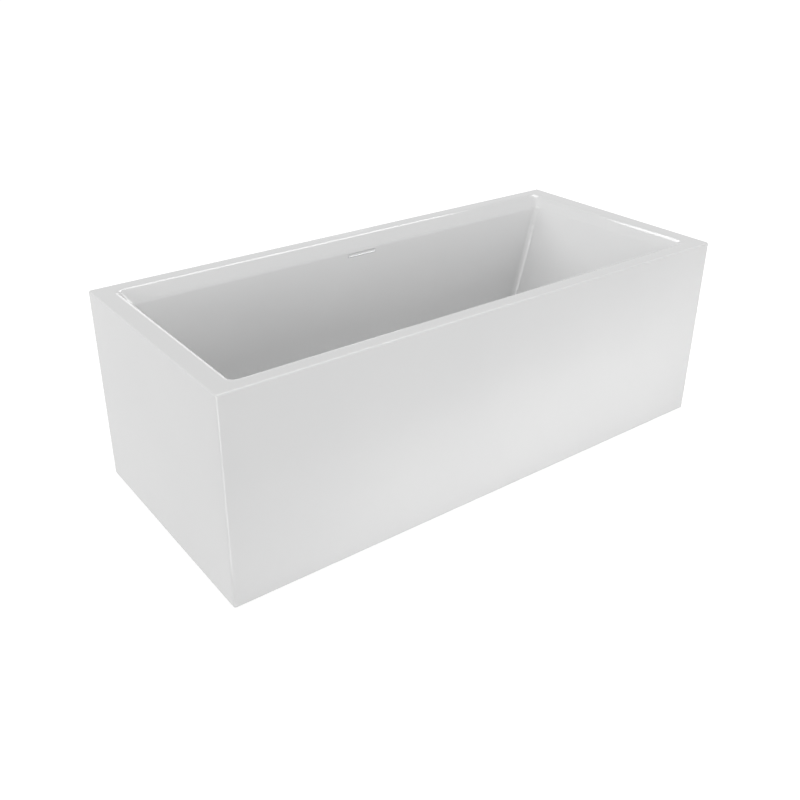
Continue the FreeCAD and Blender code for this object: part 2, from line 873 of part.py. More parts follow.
def foot(label, corner):
    x, y = foot_place(corner)
    stud = new_body("foot_stud_" + label)
    place(stud, x, y)
    radius = s.stud_thick / 2
    stud_top = rail_low + s.stud_above_plate
    tip = radius - s.stud_chamfer
    revolve(stud, "stud", [
        (ZERO, s.pad_sole), (tip, s.pad_sole), (radius, s.pad_sole + s.stud_chamfer),
        (radius, stud_top - s.stud_chamfer), (tip, stud_top), (ZERO, stud_top),
    ])
    sole = new_body("foot_pad_" + label)
    place(sole, x, y)
    edge = s.pad_wide / 2
    socket = radius + s.running_gap
    revolve(sole, "pad", [
        (ZERO, ZERO), (edge - s.pad_bevel, ZERO), (edge, s.pad_bevel), (edge, s.pad_edge),
        (s.hub_base_wide / 2, s.pad_crown), (s.hub_wide / 2, s.hub_tall), (socket, s.hub_tall),
        (socket, s.pad_sole), (ZERO, s.pad_sole),
    ])
    name = "adjusting_nut_" + label
    keep(hexagon_nut(name, corner, s.nut_tall, plate_low - s.nut_tall), name)


def lock_nuts():
    nuts = []
    for label, corner in CORNERS.items():
        nuts.append(hexagon_nut("lock_nut_" + label, corner, s.lock_nut_tall, rail_low))
    group("lock_nuts", nuts)


# Waste and plug

def round_piece(label, outline):
    body = new_body(label)
    place(body, y=s.drain_offset)
    revolve(body, "turned", outline)


def ring(label, outer, low, high):
    inner = tail + s.loose_gap
    round_piece(label, [(inner, low), (outer, low), (outer, high), (inner, high)])


def waste_flange():
    body = new_body("waste_flange")
    place(body, y=s.drain_offset)
    revolve(body, "flange", [
        (waste_bore, tail_low), (tail, tail_low), (tail, flange_low), (flange_edge, flange_low),
        (flange_edge, floor_top - s.flange_bevel), (flange_edge - s.flange_bevel, floor_top),
        (seat, floor_top), (waste_bore, floor_top - s.seat_depth),
    ])
    arm = new_sketch(body, "arm_outline", height=spider_low)
    rectangle(arm, ZERO, tail - s.waste_wall / 2, -s.spider_arm / 2, s.spider_arm / 2)
    first_arm = pad(body, "arm", arm, s.spider_thick)
    doc.recompute()
    arms = body.newObject("PartDesign::PolarPattern", "arms")
    arms.Originals = [first_arm]
    arms.Axis = (arm, ["N_Axis"])
    arms.Angle = FULL_TURN_DEGREES
    arms.Occurrences = SPIDER_ARM_COUNT
    body.Tip = arms
    doc.recompute()
    hub = new_sketch(body, "hub_outline", height=spider_low)
    circle(hub, s.cartridge_wide + 2 * s.hub_wall)
    pad(body, "hub", hub, s.spider_thick)
    socket = new_sketch(body, "socket_outline", height=spider_top)
    circle(socket, s.cartridge_wide + 2 * s.running_gap)
    pocket(body, "socket", socket, s.spider_thick + s.overrun)


def waste_locknut():
    base = (ZERO, s.drain_offset, waste_nut_low)
    blank = prism("locknut_blank", OCTAGON_SIDE_COUNT, s.waste_nut_wide, s.waste_nut_thick, base)
    bore = cylinder("locknut_bore", s.waste_tail_wide + 2 * s.running_gap, s.waste_nut_thick, base)
    keep(cut("waste_locknut", blank, bore), "waste_locknut")


def waste_body():
    body = new_body("waste_body")
    place(body, y=s.drain_offset)
    outlet = s.outlet_wide / 2
    outlet_bore = outlet - s.outlet_wall
    socket = tail + s.running_gap
    collar = drum + s.body_collar_rise
    outlet_top = drum_low - s.outlet_slope
    outlet_low = outlet_top - s.outlet_long
    collar_low = body_top - s.body_collar_tall
    socket_low = body_top - s.body_socket
    revolve(body, "drum", [
        (outlet_bore, outlet_low), (outlet, outlet_low), (outlet, outlet_top), (drum, drum_low),
        (drum, collar_low), (collar, collar_low), (collar, body_top), (socket, body_top),
        (socket, socket_low), (drum_bore, socket_low), (drum_bore, bore_low), (outlet_bore, drum_low),
    ])
    spigot = new_sketch(body, "inlet_outline", "XZ_Plane", height=-inlet_reach)
    circle(spigot, s.pipe_wide, y=inlet_z)
    pad(body, "inlet", spigot, inlet_reach)
    bore = new_sketch(body, "inlet_bore_outline", "XZ_Plane", height=-inlet_reach)
    circle(bore, s.pipe_wide - 2 * s.pipe_wall, y=inlet_z)
    pocket(body, "inlet_bore", bore, inlet_reach, reverse=True)
    inside = new_sketch(body, "drum_bore_outline", height=socket_low)
    circle(inside, 2 * drum_bore)
    pocket(body, "drum_clear", inside, socket_low - bore_low)


def plug():
    """The push-down plug: cap, seal and stem rise together in the cartridge held by the waste's spider."""
    stem = s.stem_thick / 2
    boss = s.cap_boss_wide / 2
    edge = s.cap_wide / 2
    stem_top = cap_low + s.cap_edge
    boss_low = cap_low - s.cap_boss_depth
    crown = cap_low + s.cap_crown
    round_piece("plug_cap", [
        (ZERO, stem_top), (stem, stem_top), (stem, boss_low), (boss, boss_low), (boss, cap_low),
        (edge, cap_low), (edge, cap_low + s.cap_edge), (edge - s.cap_crown, crown), (ZERO, crown),
    ])
    well = cartridge_low + s.cartridge_floor
    stem_low = well + s.stem_clear
    round_piece("plug_stem", [(ZERO, stem_low), (stem, stem_low), (stem, stem_top), (ZERO, stem_top)])
    seal_low = cap_low - s.seal_thick
    seal_edge = seat - s.seal_gap
    seal_tip = seal_edge - (floor_top - seal_low) * (seat - waste_bore) / s.seat_depth
    round_piece("plug_seal", [
        (boss, seal_low), (seal_tip, seal_low), (seal_edge, floor_top), (seal_edge, cap_low), (boss, cap_low),
    ])
    barrel = s.cartridge_wide / 2
    collar = barrel + s.cartridge_collar_rise
    collar_top = spider_top + s.cartridge_collar_tall
    barrel_top = spider_top + s.cartridge_high
    guide = stem + s.running_gap
    round_piece("plug_cartridge", [
        (ZERO, cartridge_low), (barrel, cartridge_low), (barrel, spider_top), (collar, spider_top),
        (collar, collar_top), (barrel, collar_top), (barrel, barrel_top), (guide, barrel_top),
        (guide, well), (ZERO, well),
    ])


# Overflow

def overflow_trim():
    body = new_body("overflow_trim")
    place_in_overflow(body)
    sleeve = new_sketch(body, "sleeve_outline", height=-s.trim_proud)
    centred_rectangle(sleeve, trim_width, trim_height, y=trim_middle)
    pad(body, "sleeve", sleeve, s.trim_proud + wall_thick)
    flange = new_sketch(body, "flange_outline", height=wall_thick)
    rounded_rectangle(flange, trim_flange_width, trim_flange_height, s.trim_round, trim_middle)
    pad(body, "flange", flange, s.trim_flange_thick)
    mouth = new_sketch(body, "mouth_outline", height=-s.trim_proud)
    rounded_rectangle(mouth, s.slot_width, s.slot_height, s.slot_round)
    throat = new_sketch(body, "throat_outline", height=wall_thick + s.trim_flange_thick)
    rounded_rectangle(throat, s.slot_width, s.slot_throat, s.slot_round, throat_middle)
    loft(body, "Subtractive", "slot", [mouth, throat])


def overflow_gasket():
    body = new_body("overflow_gasket")
    place_in_overflow(body)
    outline = new_sketch(body, "gasket_outline", height=wall_thick + s.trim_flange_thick)
    rounded_rectangle(outline, trim_flange_width, trim_flange_height, s.trim_round, trim_middle)
    pad(body, "gasket", outline, s.overflow_gasket_thick)
    slot = new_sketch(body, "slot_outline", height=box_front)
    rounded_rectangle(slot, s.slot_width, s.slot_throat, s.slot_round, throat_middle)
    pocket(body, "slot", slot, s.overflow_gasket_thick + s.overrun)


def overflow_box():
    body = new_body("overflow_box")
    place_in_overflow(body)
    height = s.box_above + s.box_below
    middle = (s.box_below - s.box_above) / 2
    case = new_sketch(body, "case_outline", height=box_front)
    rounded_rectangle(case, box_width, height, s.box_inner_round + s.box_wall, middle)
    pad(body, "case", case, pipe_nut_wide)
    ears = new_sketch(body, "ear_outline", height=ear_low)
    centred_rectangle(ears, 2 * (ear_middle + s.ear_end), s.ear_tall)
    pad(body, "ears", ears, s.ear_thick)
    spigot = new_sketch(body, "spigot_outline", "XZ_Plane", height=-s.box_below - s.spigot_long)
    circle(spigot, s.pipe_wide, y=spigot_depth)
    pad(body, "spigot", spigot, s.spigot_long + s.box_wall / 2)
    inside = new_sketch(body, "inside_outline", height=box_front + s.box_wall)
    wall = 2 * s.box_wall
    rounded_rectangle(inside, box_width - wall, height - wall, s.box_inner_round, middle)
    pocket(body, "inside", inside, pipe_nut_wide - wall, reverse=True)
    bore = new_sketch(body, "bore_outline", "XZ_Plane", height=-s.box_below - s.spigot_long)
    circle(bore, s.pipe_wide - 2 * s.pipe_wall, y=spigot_depth)
    pocket(body, "bore", bore, s.spigot_long + s.box_below, reverse=True)
    slot = new_sketch(body, "slot_outline", height=box_front + s.box_wall)
    rounded_rectangle(slot, s.slot_width, s.slot_throat, s.slot_round, throat_middle)
    pocket(body, "slot", slot, s.box_wall + s.overrun)
    holes = new_sketch(body, "ear_hole_outline", height=ear_low + s.ear_thick)
    for side in (-1, 1):
        circle(holes, s.ear_screw_thick + 2 * s.running_gap, side * ear_middle)
    pocket(body, "ear_holes", holes, s.ear_thick + s.overrun)


def overflow_screws():
    screws = []
    for side in (-1, 1):
        body = doc.addObject("PartDesign::Body", "overflow_screw")
        place_in_overflow(body)
        bind(body, "Placement.Base.x", side * ear_middle)
        shank = new_sketch(body, "shank_outline", height=ear_low - s.ear_screw_bite)
        circle(shank, s.ear_screw_thick)
        pad(body, "shank", shank, s.ear_screw_bite + s.ear_thick)
        head = new_sketch(body, "head_outline", height=ear_low + s.ear_thick)
        circle(head, s.ear_head_wide)
        pad(body, "head", head, s.ear_head_tall)
        screws.append(body)
    group("overflow_screws", screws)


# Overflow pipe

def pipe_upper_end():
    """Where the overflow box's spigot ends, across and up."""
    down = s.box_below + s.spigot_long
    y = overflow_y - down * sine(wall_tilt) + spigot_depth * cosine(wall_tilt)
    z = overflow_z - down * cosine(wall_tilt) - spigot_depth * sine(wall_tilt)
    return y, z


def overflow_pipe():
    body = new_body("overflow_pipe")
    y_start = s.drain_offset + inlet_reach
    z_start = inlet_z
    y_end, z_end = pipe_upper_end()
    turn = math.radians(QUARTER_TURN_DEGREES - wall_tilt.number)
    bend = s.pipe_bend.number
    y_corner = y_end.number - (z_end.number - z_start.number) * math.tan(math.radians(wall_tilt.number))
    setback = bend * math.tan(turn / 2)
    start = FreeCAD.Vector(y_start.number, z_start.number, 0)
    first = FreeCAD.Vector(y_corner - setback, z_start.number, 0)
    second = FreeCAD.Vector(
        y_corner + setback * math.cos(turn), z_start.number + setback * math.sin(turn), 0)
    end = FreeCAD.Vector(y_end.number, z_end.number, 0)
    arc = Part.ArcOfCircle(
        Part.Circle(first + FreeCAD.Vector(0, bend, 0), FreeCAD.Vector(0, 0, 1), bend),
        -math.pi / 2, -math.pi / 2 + turn)
    path = new_sketch(body, "path", "YZ_Plane")
    path.addGeometry(Part.LineSegment(start, first))
    path.addGeometry(arc)
    path.addGeometry(Part.LineSegment(second, end))
    path.addConstraint(Sketcher.Constraint("Tangent", 0, 2, 1, 1))
    path.addConstraint(Sketcher.Constraint("Tangent", 1, 2, 2, 1))
    path.addConstraint(Sketcher.Constraint("Horizontal", 0))
    set_radius(path, 1, s.pipe_bend)
    locate(path, 0, 1, y_start, z_start)
    locate(path, 2, 2, y_end, z_end)
    index = path.addConstraint(Sketcher.Constraint("Angle", 2, turn))
    bind(path, "Constraints[%d]" % index, Size("90 deg - " + wall_tilt.text, 0))
    section = new_sketch(body, "section", "XZ_Plane", height=-y_start)
    circle(section, s.pipe_wide, y=inlet_z)
    circle(section, s.pipe_wide - 2 * s.pipe_wall, y=inlet_z)
    doc.recompute()
    pipe = feature(body, "AdditivePipe", "pipe", section)
    pipe.Spine = (path, ["Edge1", "Edge2", "Edge3"])


def pipe_nut(label, on_wall):
    """A union nut on a pipe joint: the upper one follows the wall, the lower one lies level."""
    body = new_body(label)
    half = s.pipe_nut_long / 2
    if on_wall:
        place_in_overflow(body)
        height = -s.box_below - s.spigot_long - half
        level = spigot_depth
    else:
        place(body, y=s.drain_offset)
        height = -inlet_reach - half
        level = inlet_z
    outline = new_sketch(body, "nut_outline", "XZ_Plane", height=height)
    circle(outline, pipe_nut_wide, y=level)
    circle(outline, s.pipe_wide + 2 * s.loose_gap, y=level)
    pad(body, "nut", outline, s.pipe_nut_long)


basin_shell()
outer_skirt()
rim_battens()
skirt_battens()
base_board()
for rail_label, rail_side in (("front", -1), ("back", 1)):
    frame_rail(rail_label, rail_side)
for cross_label, cross_end in (("left", -1), ("right", 1)):
    frame_cross(cross_label, cross_end)
rail_caps()
frame_screws()
skirt_straps()
strap_screws()
foot_plates()
lock_nuts()
for corner_label, corner_signs in CORNERS.items():
    foot(corner_label, corner_signs)
waste_flange()
ring("waste_gasket_upper", flange_edge - s.gasket_inset, floor_top - s.recess_depth, flange_low)
ring("waste_gasket_lower", s.lower_gasket_wide / 2, floor_low - s.lower_gasket_thick, floor_low)
waste_locknut()
waste_body()
plug()
overflow_trim()
overflow_gasket()
overflow_box()
overflow_screws()
overflow_pipe()
pipe_nut("pipe_nut_upper", True)
pipe_nut("pipe_nut_lower", False)

doc.recompute()
for item in doc.Objects:
    if any(state in ("Invalid", "Error") for state in item.State):
        raise RuntimeError("%s failed" % item.Label)
for node in nodes:
    if node.Shape.isNull() or not node.Shape.isValid() or not node.Shape.Solids:
        raise RuntimeError("%s has no valid solid" % node.Label)

os.makedirs("parts", exist_ok=True)
for node in nodes:
    node.Shape.exportStep("parts/%s.step" % node.Label)
print("%d pieces written" % len(nodes))
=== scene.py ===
import bpy
import bmesh
import json
import math
from mathutils import Matrix, Quaternion, Vector

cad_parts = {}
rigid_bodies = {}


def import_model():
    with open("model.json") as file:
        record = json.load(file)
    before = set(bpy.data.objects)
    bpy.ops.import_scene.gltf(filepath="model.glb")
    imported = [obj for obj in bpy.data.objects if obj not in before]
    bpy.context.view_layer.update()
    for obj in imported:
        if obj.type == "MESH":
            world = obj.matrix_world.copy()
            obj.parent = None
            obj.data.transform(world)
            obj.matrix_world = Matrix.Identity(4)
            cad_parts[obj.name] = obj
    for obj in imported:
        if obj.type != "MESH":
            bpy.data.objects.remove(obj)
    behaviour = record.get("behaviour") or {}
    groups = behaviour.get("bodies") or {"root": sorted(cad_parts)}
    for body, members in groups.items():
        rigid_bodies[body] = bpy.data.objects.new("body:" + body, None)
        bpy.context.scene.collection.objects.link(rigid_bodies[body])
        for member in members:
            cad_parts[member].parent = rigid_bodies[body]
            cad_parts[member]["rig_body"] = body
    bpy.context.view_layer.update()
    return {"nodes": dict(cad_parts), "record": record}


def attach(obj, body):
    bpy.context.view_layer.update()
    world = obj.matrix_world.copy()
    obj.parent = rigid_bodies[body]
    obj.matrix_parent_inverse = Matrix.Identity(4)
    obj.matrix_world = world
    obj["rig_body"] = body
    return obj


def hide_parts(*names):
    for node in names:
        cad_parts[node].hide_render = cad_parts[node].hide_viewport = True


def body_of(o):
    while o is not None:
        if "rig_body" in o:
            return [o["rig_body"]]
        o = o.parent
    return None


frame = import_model()
nodes = frame["nodes"]
slotOf = {row["node"]: row["material_slot"] for row in frame["record"]["subparts"]}
cornerSigns = {"front_left": (-1, -1), "front_right": (1, -1), "back_left": (-1, 1), "back_right": (1, 1)}
quarter = math.pi / 2
fullTurn = 2 * math.pi
smoothBelow = 32.0           # degrees, edges flatter than this are shaded smooth
print("frame loaded,", len(nodes), "nodes")


# nodes, made with their inputs: a socket is linked, any other value is set

def feed(tree, node, inputs):
    for name, value in inputs.items():
        if isinstance(value, bpy.types.NodeSocket):
            tree.links.new(value, node.inputs[name])
        else:
            node.inputs[name].default_value = value


def addNode(tree, kind, inputs=None):
    node = tree.nodes.new(kind)
    feed(tree, node, inputs or {})
    return node


# camera, studio and floor

studio = {
    "camAt": (-1.5920, -1.9865, 1.5224),
    "camTurn": -36.222,      # degrees round the tub
    "camRise": 26.535,       # degrees above the horizon
    "lens": 41.65,
    "sensor": 36.0,
    "shiftX": 0.0236,
    "shiftY": -0.0411,
    "skyLight": 0.675,       # what the tub is lit by
    "skySeen": 1.0,          # what the camera and mirrors see
    "floorHalf": 60.0,
    "floorCells": 4,
    "floorTone": 0.40,
    "floorLift": 0.80,       # lifts the floor to white for the camera and mirrors
}
lamps = {                    # what each gives: shine on glossy faces, fill on all others, or both
    "topPanel": {"at": (1.45, 1.15, 3.60), "aim": (1.45, 1.10, 0.0), "size": (2.9, 2.2),
                 "watts": 110, "gives": "shine"},
    "lowPanel": {"at": (2.5, 5.5, 1.42), "aim": (-0.8, 0.0, 0.6), "size": (2.0, 1.85),
                 "watts": 12, "gives": "shine"},
    "leftSoft": {"at": (-12.0, -0.4, 3.0), "aim": (0.0, 0.0, 0.4), "size": (6.0, 3.0),
                 "watts": 360, "gives": "both"},
    "backFill": {"at": (-6.0, 6.0, 5.0), "aim": (0.4, 0.0, 0.45), "size": (2.4, 2.4),
                 "watts": 76, "gives": "fill"},
    "rightFill": {"at": (8.0, 1.0, 5.6), "aim": (-0.4, 0.0, 0.4), "size": (4.0, 3.0),
                  "watts": 45, "gives": "fill"},
    "frontFill": {"at": (0.0, -4.2, 1.25), "aim": (0.0, 0.0, 0.3), "size": (3.0, 2.1),
                  "watts": 52, "gives": "fill"},
    "slantBeam": {"at": (0.165, -2.2, -0.267), "aim": (0.165, 0.0, -0.267), "size": (3.2, 1.2),
                  "watts": 1.5, "gives": "fill", "spread": 20, "roll": 16},
    "cornerGlow": {"at": (-5.48, -0.81, 3.10), "aim": (0.72, 0.28, 0.45), "size": (2.2, 1.1),
                   "watts": 36, "gives": "shine"},
    "edgeGlow": {"at": (-0.94, -0.465, 0.26), "aim": (-0.85, -0.375, 0.26), "size": (0.08, 0.58),
                 "watts": 0.45, "gives": "shine", "spread": 120},
    "footGlow": {"at": (0.1, -0.80, 0.03), "aim": (0.1, -0.375, 0.10), "size": (1.9, 0.05),
                 "watts": 0.5, "gives": "fill"},
}


def seenDirectly(tree):
    path = addNode(tree, "ShaderNodeLightPath")
    total = path.outputs["Is Camera Ray"]
    for ray in ("Is Glossy Ray", "Is Transmission Ray"):
        either = addNode(tree, "ShaderNodeMath", {0: total, 1: path.outputs[ray]})
        either.operation = "MAXIMUM"
        total = either.outputs[0]
    return total


def setSky(scene):
    world = bpy.data.worlds.new("studioSky")
    scene.world = world
    world.use_nodes = True
    tree = world.node_tree
    tree.nodes.clear()
    mix = addNode(tree, "ShaderNodeMixShader", {0: seenDirectly(tree)})
    for socket, strength in ((1, studio["skyLight"]), (2, studio["skySeen"])):
        sky = addNode(tree, "ShaderNodeBackground", {"Color": (1, 1, 1, 1), "Strength": strength})
        feed(tree, mix, {socket: sky.outputs[0]})
    addNode(tree, "ShaderNodeOutputWorld", {"Surface": mix.outputs[0]})


def setCamera(scene):
    cam = bpy.data.cameras.new("photoCamera")
    cam.lens = studio["lens"]
    cam.sensor_width = studio["sensor"]
    cam.shift_x = studio["shiftX"]
    cam.shift_y = studio["shiftY"]
    camera = bpy.data.objects.new("photoCamera", cam)
    turn = math.radians(studio["camTurn"])
    rise = math.radians(studio["camRise"])
    back = Vector((math.sin(turn) * math.cos(rise), -math.cos(turn) * math.cos(rise), math.sin(rise)))
    camera.location = studio["camAt"]
    camera.rotation_mode = "QUATERNION"
    camera.rotation_quaternion = (-back).to_track_quat("-Z", "Y")
    scene.collection.objects.link(camera)
    scene.camera = camera


def setLamps(scene):
    for name, spec in lamps.items():
        data = bpy.data.lights.new(name, "AREA")
        data.shape = "RECTANGLE"
        data.size, data.size_y = spec["size"]
        data.energy = spec["watts"]
        data.spread = math.radians(spec.get("spread", 180))
        lamp = bpy.data.objects.new(name, data)
        at = Vector(spec["at"])
        lamp.location = at
        lamp.rotation_mode = "QUATERNION"
        facing = (Vector(spec["aim"]) - at).to_track_quat("-Z", "Y")
        lamp.rotation_quaternion = facing @ Quaternion((0, 0, 1), math.radians(spec.get("roll", 0)))
        lamp.visible_camera = False
        lamp.visible_diffuse = spec["gives"] != "shine"
        lamp.visible_glossy = spec["gives"] != "fill"
        scene.collection.objects.link(lamp)


def setFloor():
    mat = bpy.data.materials.new("paleFloor")
    mat.use_nodes = True
    tree = mat.node_tree
    tree.nodes.clear()
    scale = addNode(tree, "ShaderNodeMath", {0: seenDirectly(tree), 1: studio["floorLift"]})
    scale.operation = "MULTIPLY"
    lift = addNode(tree, "ShaderNodeEmission", {"Strength": scale.outputs[0]})
    paint = addNode(tree, "ShaderNodeBsdfDiffuse", {"Color": (*[studio["floorTone"]] * 3, 1)})
    add = addNode(tree, "ShaderNodeAddShader", {0: paint.outputs[0], 1: lift.outputs[0]})
    addNode(tree, "ShaderNodeOutputMaterial", {"Surface": add.outputs[0]})
    bm = bmesh.new()
    cells = studio["floorCells"]
    bmesh.ops.create_grid(bm, x_segments=cells, y_segments=cells, size=studio["floorHalf"])
    floor = looseObject("studioFloor", bm)
    floor.data.materials.append(mat)


def setStudio():
    scene = bpy.context.scene
    scene.view_settings.view_transform = "Standard"
    setSky(scene)
    setCamera(scene)
    setLamps(scene)
    setFloor()
    print("studio set")


# finishes: a cloud has a scale, a detail and a warp, and a bump a strength and a depth

def startFinish(name):
    mat = bpy.data.materials.new(name)
    mat.use_nodes = True
    tree = mat.node_tree
    coords = addNode(tree, "ShaderNodeTexCoord")
    return mat, tree, tree.nodes["Principled BSDF"], coords.outputs["Object"]


def mapped(tree, vector, stretch):
    return addNode(tree, "ShaderNodeMapping", {"Vector": vector, "Scale": stretch}).outputs["Vector"]


def cloud(tree, vector, scale, detail, warp=0.0):
    inputs = {"Vector": vector, "Scale": scale, "Detail": detail, "Distortion": warp}
    return addNode(tree, "ShaderNodeTexNoise", inputs).outputs["Fac"]


def ramp(tree, value, stops, tones):
    node = addNode(tree, "ShaderNodeValToRGB", {"Fac": value})
    band = node.color_ramp
    while len(band.elements) < len(stops):
        band.elements.new(0.5)
    for element, place, tone in zip(band.elements, stops, tones):
        element.position = place
        element.color = (*tone, 1)
    return node.outputs["Color"]


def spread(tree, value, low, high):
    inputs = {"Value": value, "To Min": low, "To Max": high}
    return addNode(tree, "ShaderNodeMapRange", inputs).outputs["Result"]


def emboss(tree, value, strength, depth):
    inputs = {"Height": value, "Strength": strength, "Distance": depth}
    return addNode(tree, "ShaderNodeBump", inputs).outputs["Normal"]


acrylicLook = {
    "tones": ((0.742, 0.744, 0.745), (0.762, 0.763, 0.762)), "stops": (0.3, 0.7), "drift": (2.2, 3.0),
    "gloss": (0.07, 0.11), "glossCloud": (14.0, 4.0), "ripple": (9.0, 1.0), "bump": (0.03, 0.0006),
    "index": 1.49,
}


def acrylicFinish():
    look = acrylicLook
    mat, tree, shader, where = startFinish("glossAcrylic")
    feed(tree, shader, {
        "Base Color": ramp(tree, cloud(tree, where, *look["drift"]), look["stops"], look["tones"]),
        "Roughness": spread(tree, cloud(tree, where, *look["glossCloud"]), *look["gloss"]),
        "Normal": emboss(tree, cloud(tree, where, *look["ripple"]), *look["bump"]),
        "IOR": look["index"],
    })
    return mat


timberLook = {
    "tones": ((0.50, 0.33, 0.17), (0.66, 0.48, 0.29), (0.76, 0.60, 0.41)), "stops": (0.32, 0.50, 0.70),
    "grain": (110.0, 6.0, 0.5), "gloss": (0.60, 0.82), "bump": (0.4, 0.0005),
    "alongX": (0.05, 1, 1), "alongY": (1, 0.05, 1),
}


def timberFinish(name, stretch):
    look = timberLook
    mat, tree, shader, where = startFinish(name)
    grain = cloud(tree, mapped(tree, where, stretch), *look["grain"])
    feed(tree, shader, {
        "Base Color": ramp(tree, grain, look["stops"], look["tones"]),
        "Roughness": spread(tree, grain, *look["gloss"]),
        "Normal": emboss(tree, grain, *look["bump"]),
    })
    return mat


boardLook = {
    "layers": 61.0, "layerTones": ((0.36, 0.23, 0.13), (0.68, 0.51, 0.33)), "layerStops": (0.12, 0.34),
    "grain": (120.0, 5.0, 0.4), "stretch": (0.05, 1, 1),
    "streakTones": ((0.72, 0.70, 0.66), (1.0, 1.0, 1.0)), "streakStops": (0.30, 0.62),
    "gloss": (0.62, 0.85), "bump": (0.3, 0.0004),
}


def boardFinish():
    look = boardLook
    mat, tree, shader, where = startFinish("rawPlywood")
    bands = addNode(tree, "ShaderNodeTexWave", {"Vector": where, "Scale": look["layers"]})
    bands.bands_direction = "Z"
    layers = ramp(tree, bands.outputs["Fac"], look["layerStops"], look["layerTones"])
    grain = cloud(tree, mapped(tree, where, look["stretch"]), *look["grain"])
    streaks = ramp(tree, grain, look["streakStops"], look["streakTones"])
    mix = addNode(tree, "ShaderNodeMix")
    mix.data_type = "RGBA"
    mix.blend_type = "MULTIPLY"
    feed(tree, mix, {"Factor": 1.0, "A": layers, "B": streaks})
    feed(tree, shader, {
        "Base Color": mix.outputs["Result"],
        "Roughness": spread(tree, grain, *look["gloss"]),
        "Normal": emboss(tree, grain, *look["bump"]),
    })
    return mat


zincLook = {
    "tones": ((0.40, 0.41, 0.42), (0.60, 0.61, 0.62)), "stops": (0.15, 0.85), "spangle": 95.0,
    "gloss": (0.30, 0.52), "pitting": (400.0, 3.0), "bump": (0.15, 0.0002), "metal": 0.9,
}


def zincFinish():
    look = zincLook
    mat, tree, shader, where = startFinish("spangledZinc")
    flakes = addNode(tree, "ShaderNodeTexVoronoi", {"Vector": where, "Scale": look["spangle"]})
    grey = addNode(tree, "ShaderNodeRGBToBW", {"Color": flakes.outputs["Color"]}).outputs["Val"]
    feed(tree, shader, {
        "Base Color": ramp(tree, grey, look["stops"], look["tones"]),
        "Roughness": spread(tree, grey, *look["gloss"]),
        "Normal": emboss(tree, cloud(tree, where, *look["pitting"]), *look["bump"]),
        "Metallic": look["metal"],
    })
    return mat


cloudyLooks = {              # finishes that differ only in these values, by slot
    "bright_metal": {
        "name": "brightChrome", "tones": ((0.80, 0.81, 0.82), (0.88, 0.885, 0.89)),
        "gloss": (0.04, 0.11), "scale": 60.0, "grain": 300.0, "strength": 0.02, "metal": 1.0},
    "fastener_steel": {
        "name": "platedSteel", "tones": ((0.52, 0.52, 0.50), (0.68, 0.68, 0.65)),
        "gloss": (0.22, 0.40), "scale": 80.0, "grain": 900.0, "strength": 0.10, "metal": 1.0},
    "brass": {
        "name": "turnedBrass", "tones": ((0.62, 0.43, 0.17), (0.75, 0.56, 0.26)),
        "gloss": (0.20, 0.36), "scale": 70.0, "grain": 700.0, "strength": 0.08, "metal": 1.0},
    "rubber": {
        "name": "blackRubber", "tones": ((0.016, 0.016, 0.017), (0.034, 0.034, 0.036)),
        "gloss": (0.62, 0.82), "scale": 50.0, "grain": 1200.0, "strength": 0.30, "metal": 0.0},
    "waste_plastic": {
        "name": "mouldedPlastic", "tones": ((0.74, 0.74, 0.72), (0.80, 0.80, 0.78)),
        "gloss": (0.34, 0.50), "scale": 18.0, "grain": 1500.0, "strength": 0.12, "metal": 0.0},
    "foot_plastic": {
        "name": "blackNylon", "tones": ((0.022, 0.022, 0.024), (0.042, 0.042, 0.045)),
        "gloss": (0.40, 0.58), "scale": 40.0, "grain": 1400.0, "strength": 0.25, "metal": 0.0},
}
cloudy = {"stops": (0.3, 0.7), "toneDetail": 4.0, "glossScale": 3, "glossDetail": 3.0,
          "grainDetail": 2.0, "grainDepth": 0.0002}


def cloudyFinish(look):
    mat, tree, shader, where = startFinish(look["name"])
    tone = cloud(tree, where, look["scale"], cloudy["toneDetail"])
    gloss = cloud(tree, where, cloudy["glossScale"] * look["scale"], cloudy["glossDetail"])
    grain = cloud(tree, where, look["grain"], cloudy["grainDetail"])
    feed(tree, shader, {
        "Base Color": ramp(tree, tone, cloudy["stops"], look["tones"]),
        "Roughness": spread(tree, gloss, *look["gloss"]),
        "Normal": emboss(tree, grain, look["strength"], cloudy["grainDepth"]),
        "Metallic": look["metal"],
    })
    return mat


# each finish has the record's slot that it stands for
finishes = {slot: (cloudyFinish(look), slot) for slot, look in cloudyLooks.items()}
finishes["acrylic"] = (acrylicFinish(), "acrylic")
finishes["board"] = (boardFinish(), "board")
finishes["frame_steel"] = (zincFinish(), "frame_steel")
finishes["longTimber"] = (timberFinish("sawnTimberLong", timberLook["alongX"]), "timber")
finishes["crossTimber"] = (timberFinish("sawnTimberCross", timberLook["alongY"]), "timber")
print("finishes made,", len(finishes))


# objects, from loose helpers to finished pieces

def meshFrom(name, bm):
    mesh = bpy.data.meshes.new(name)
    bm.to_mesh(mesh)
    bm.free()
    return mesh


def linked(name, mesh):
    item = bpy.data.objects.new(name, mesh)
    bpy.context.scene.collection.objects.link(item)
    return item


def looseObject(name, bm):
    return linked(name, meshFrom(name, bm))


def faceOutwards(bm):
    bmesh.ops.recalc_face_normals(bm, faces=bm.faces)


def closedObject(name, bm):
    faceOutwards(bm)
    return looseObject(name, bm)


def shadeSmooth(mesh, below):
    mesh.shade_smooth()
    mesh.set_sharp_from_angle(angle=math.radians(below))


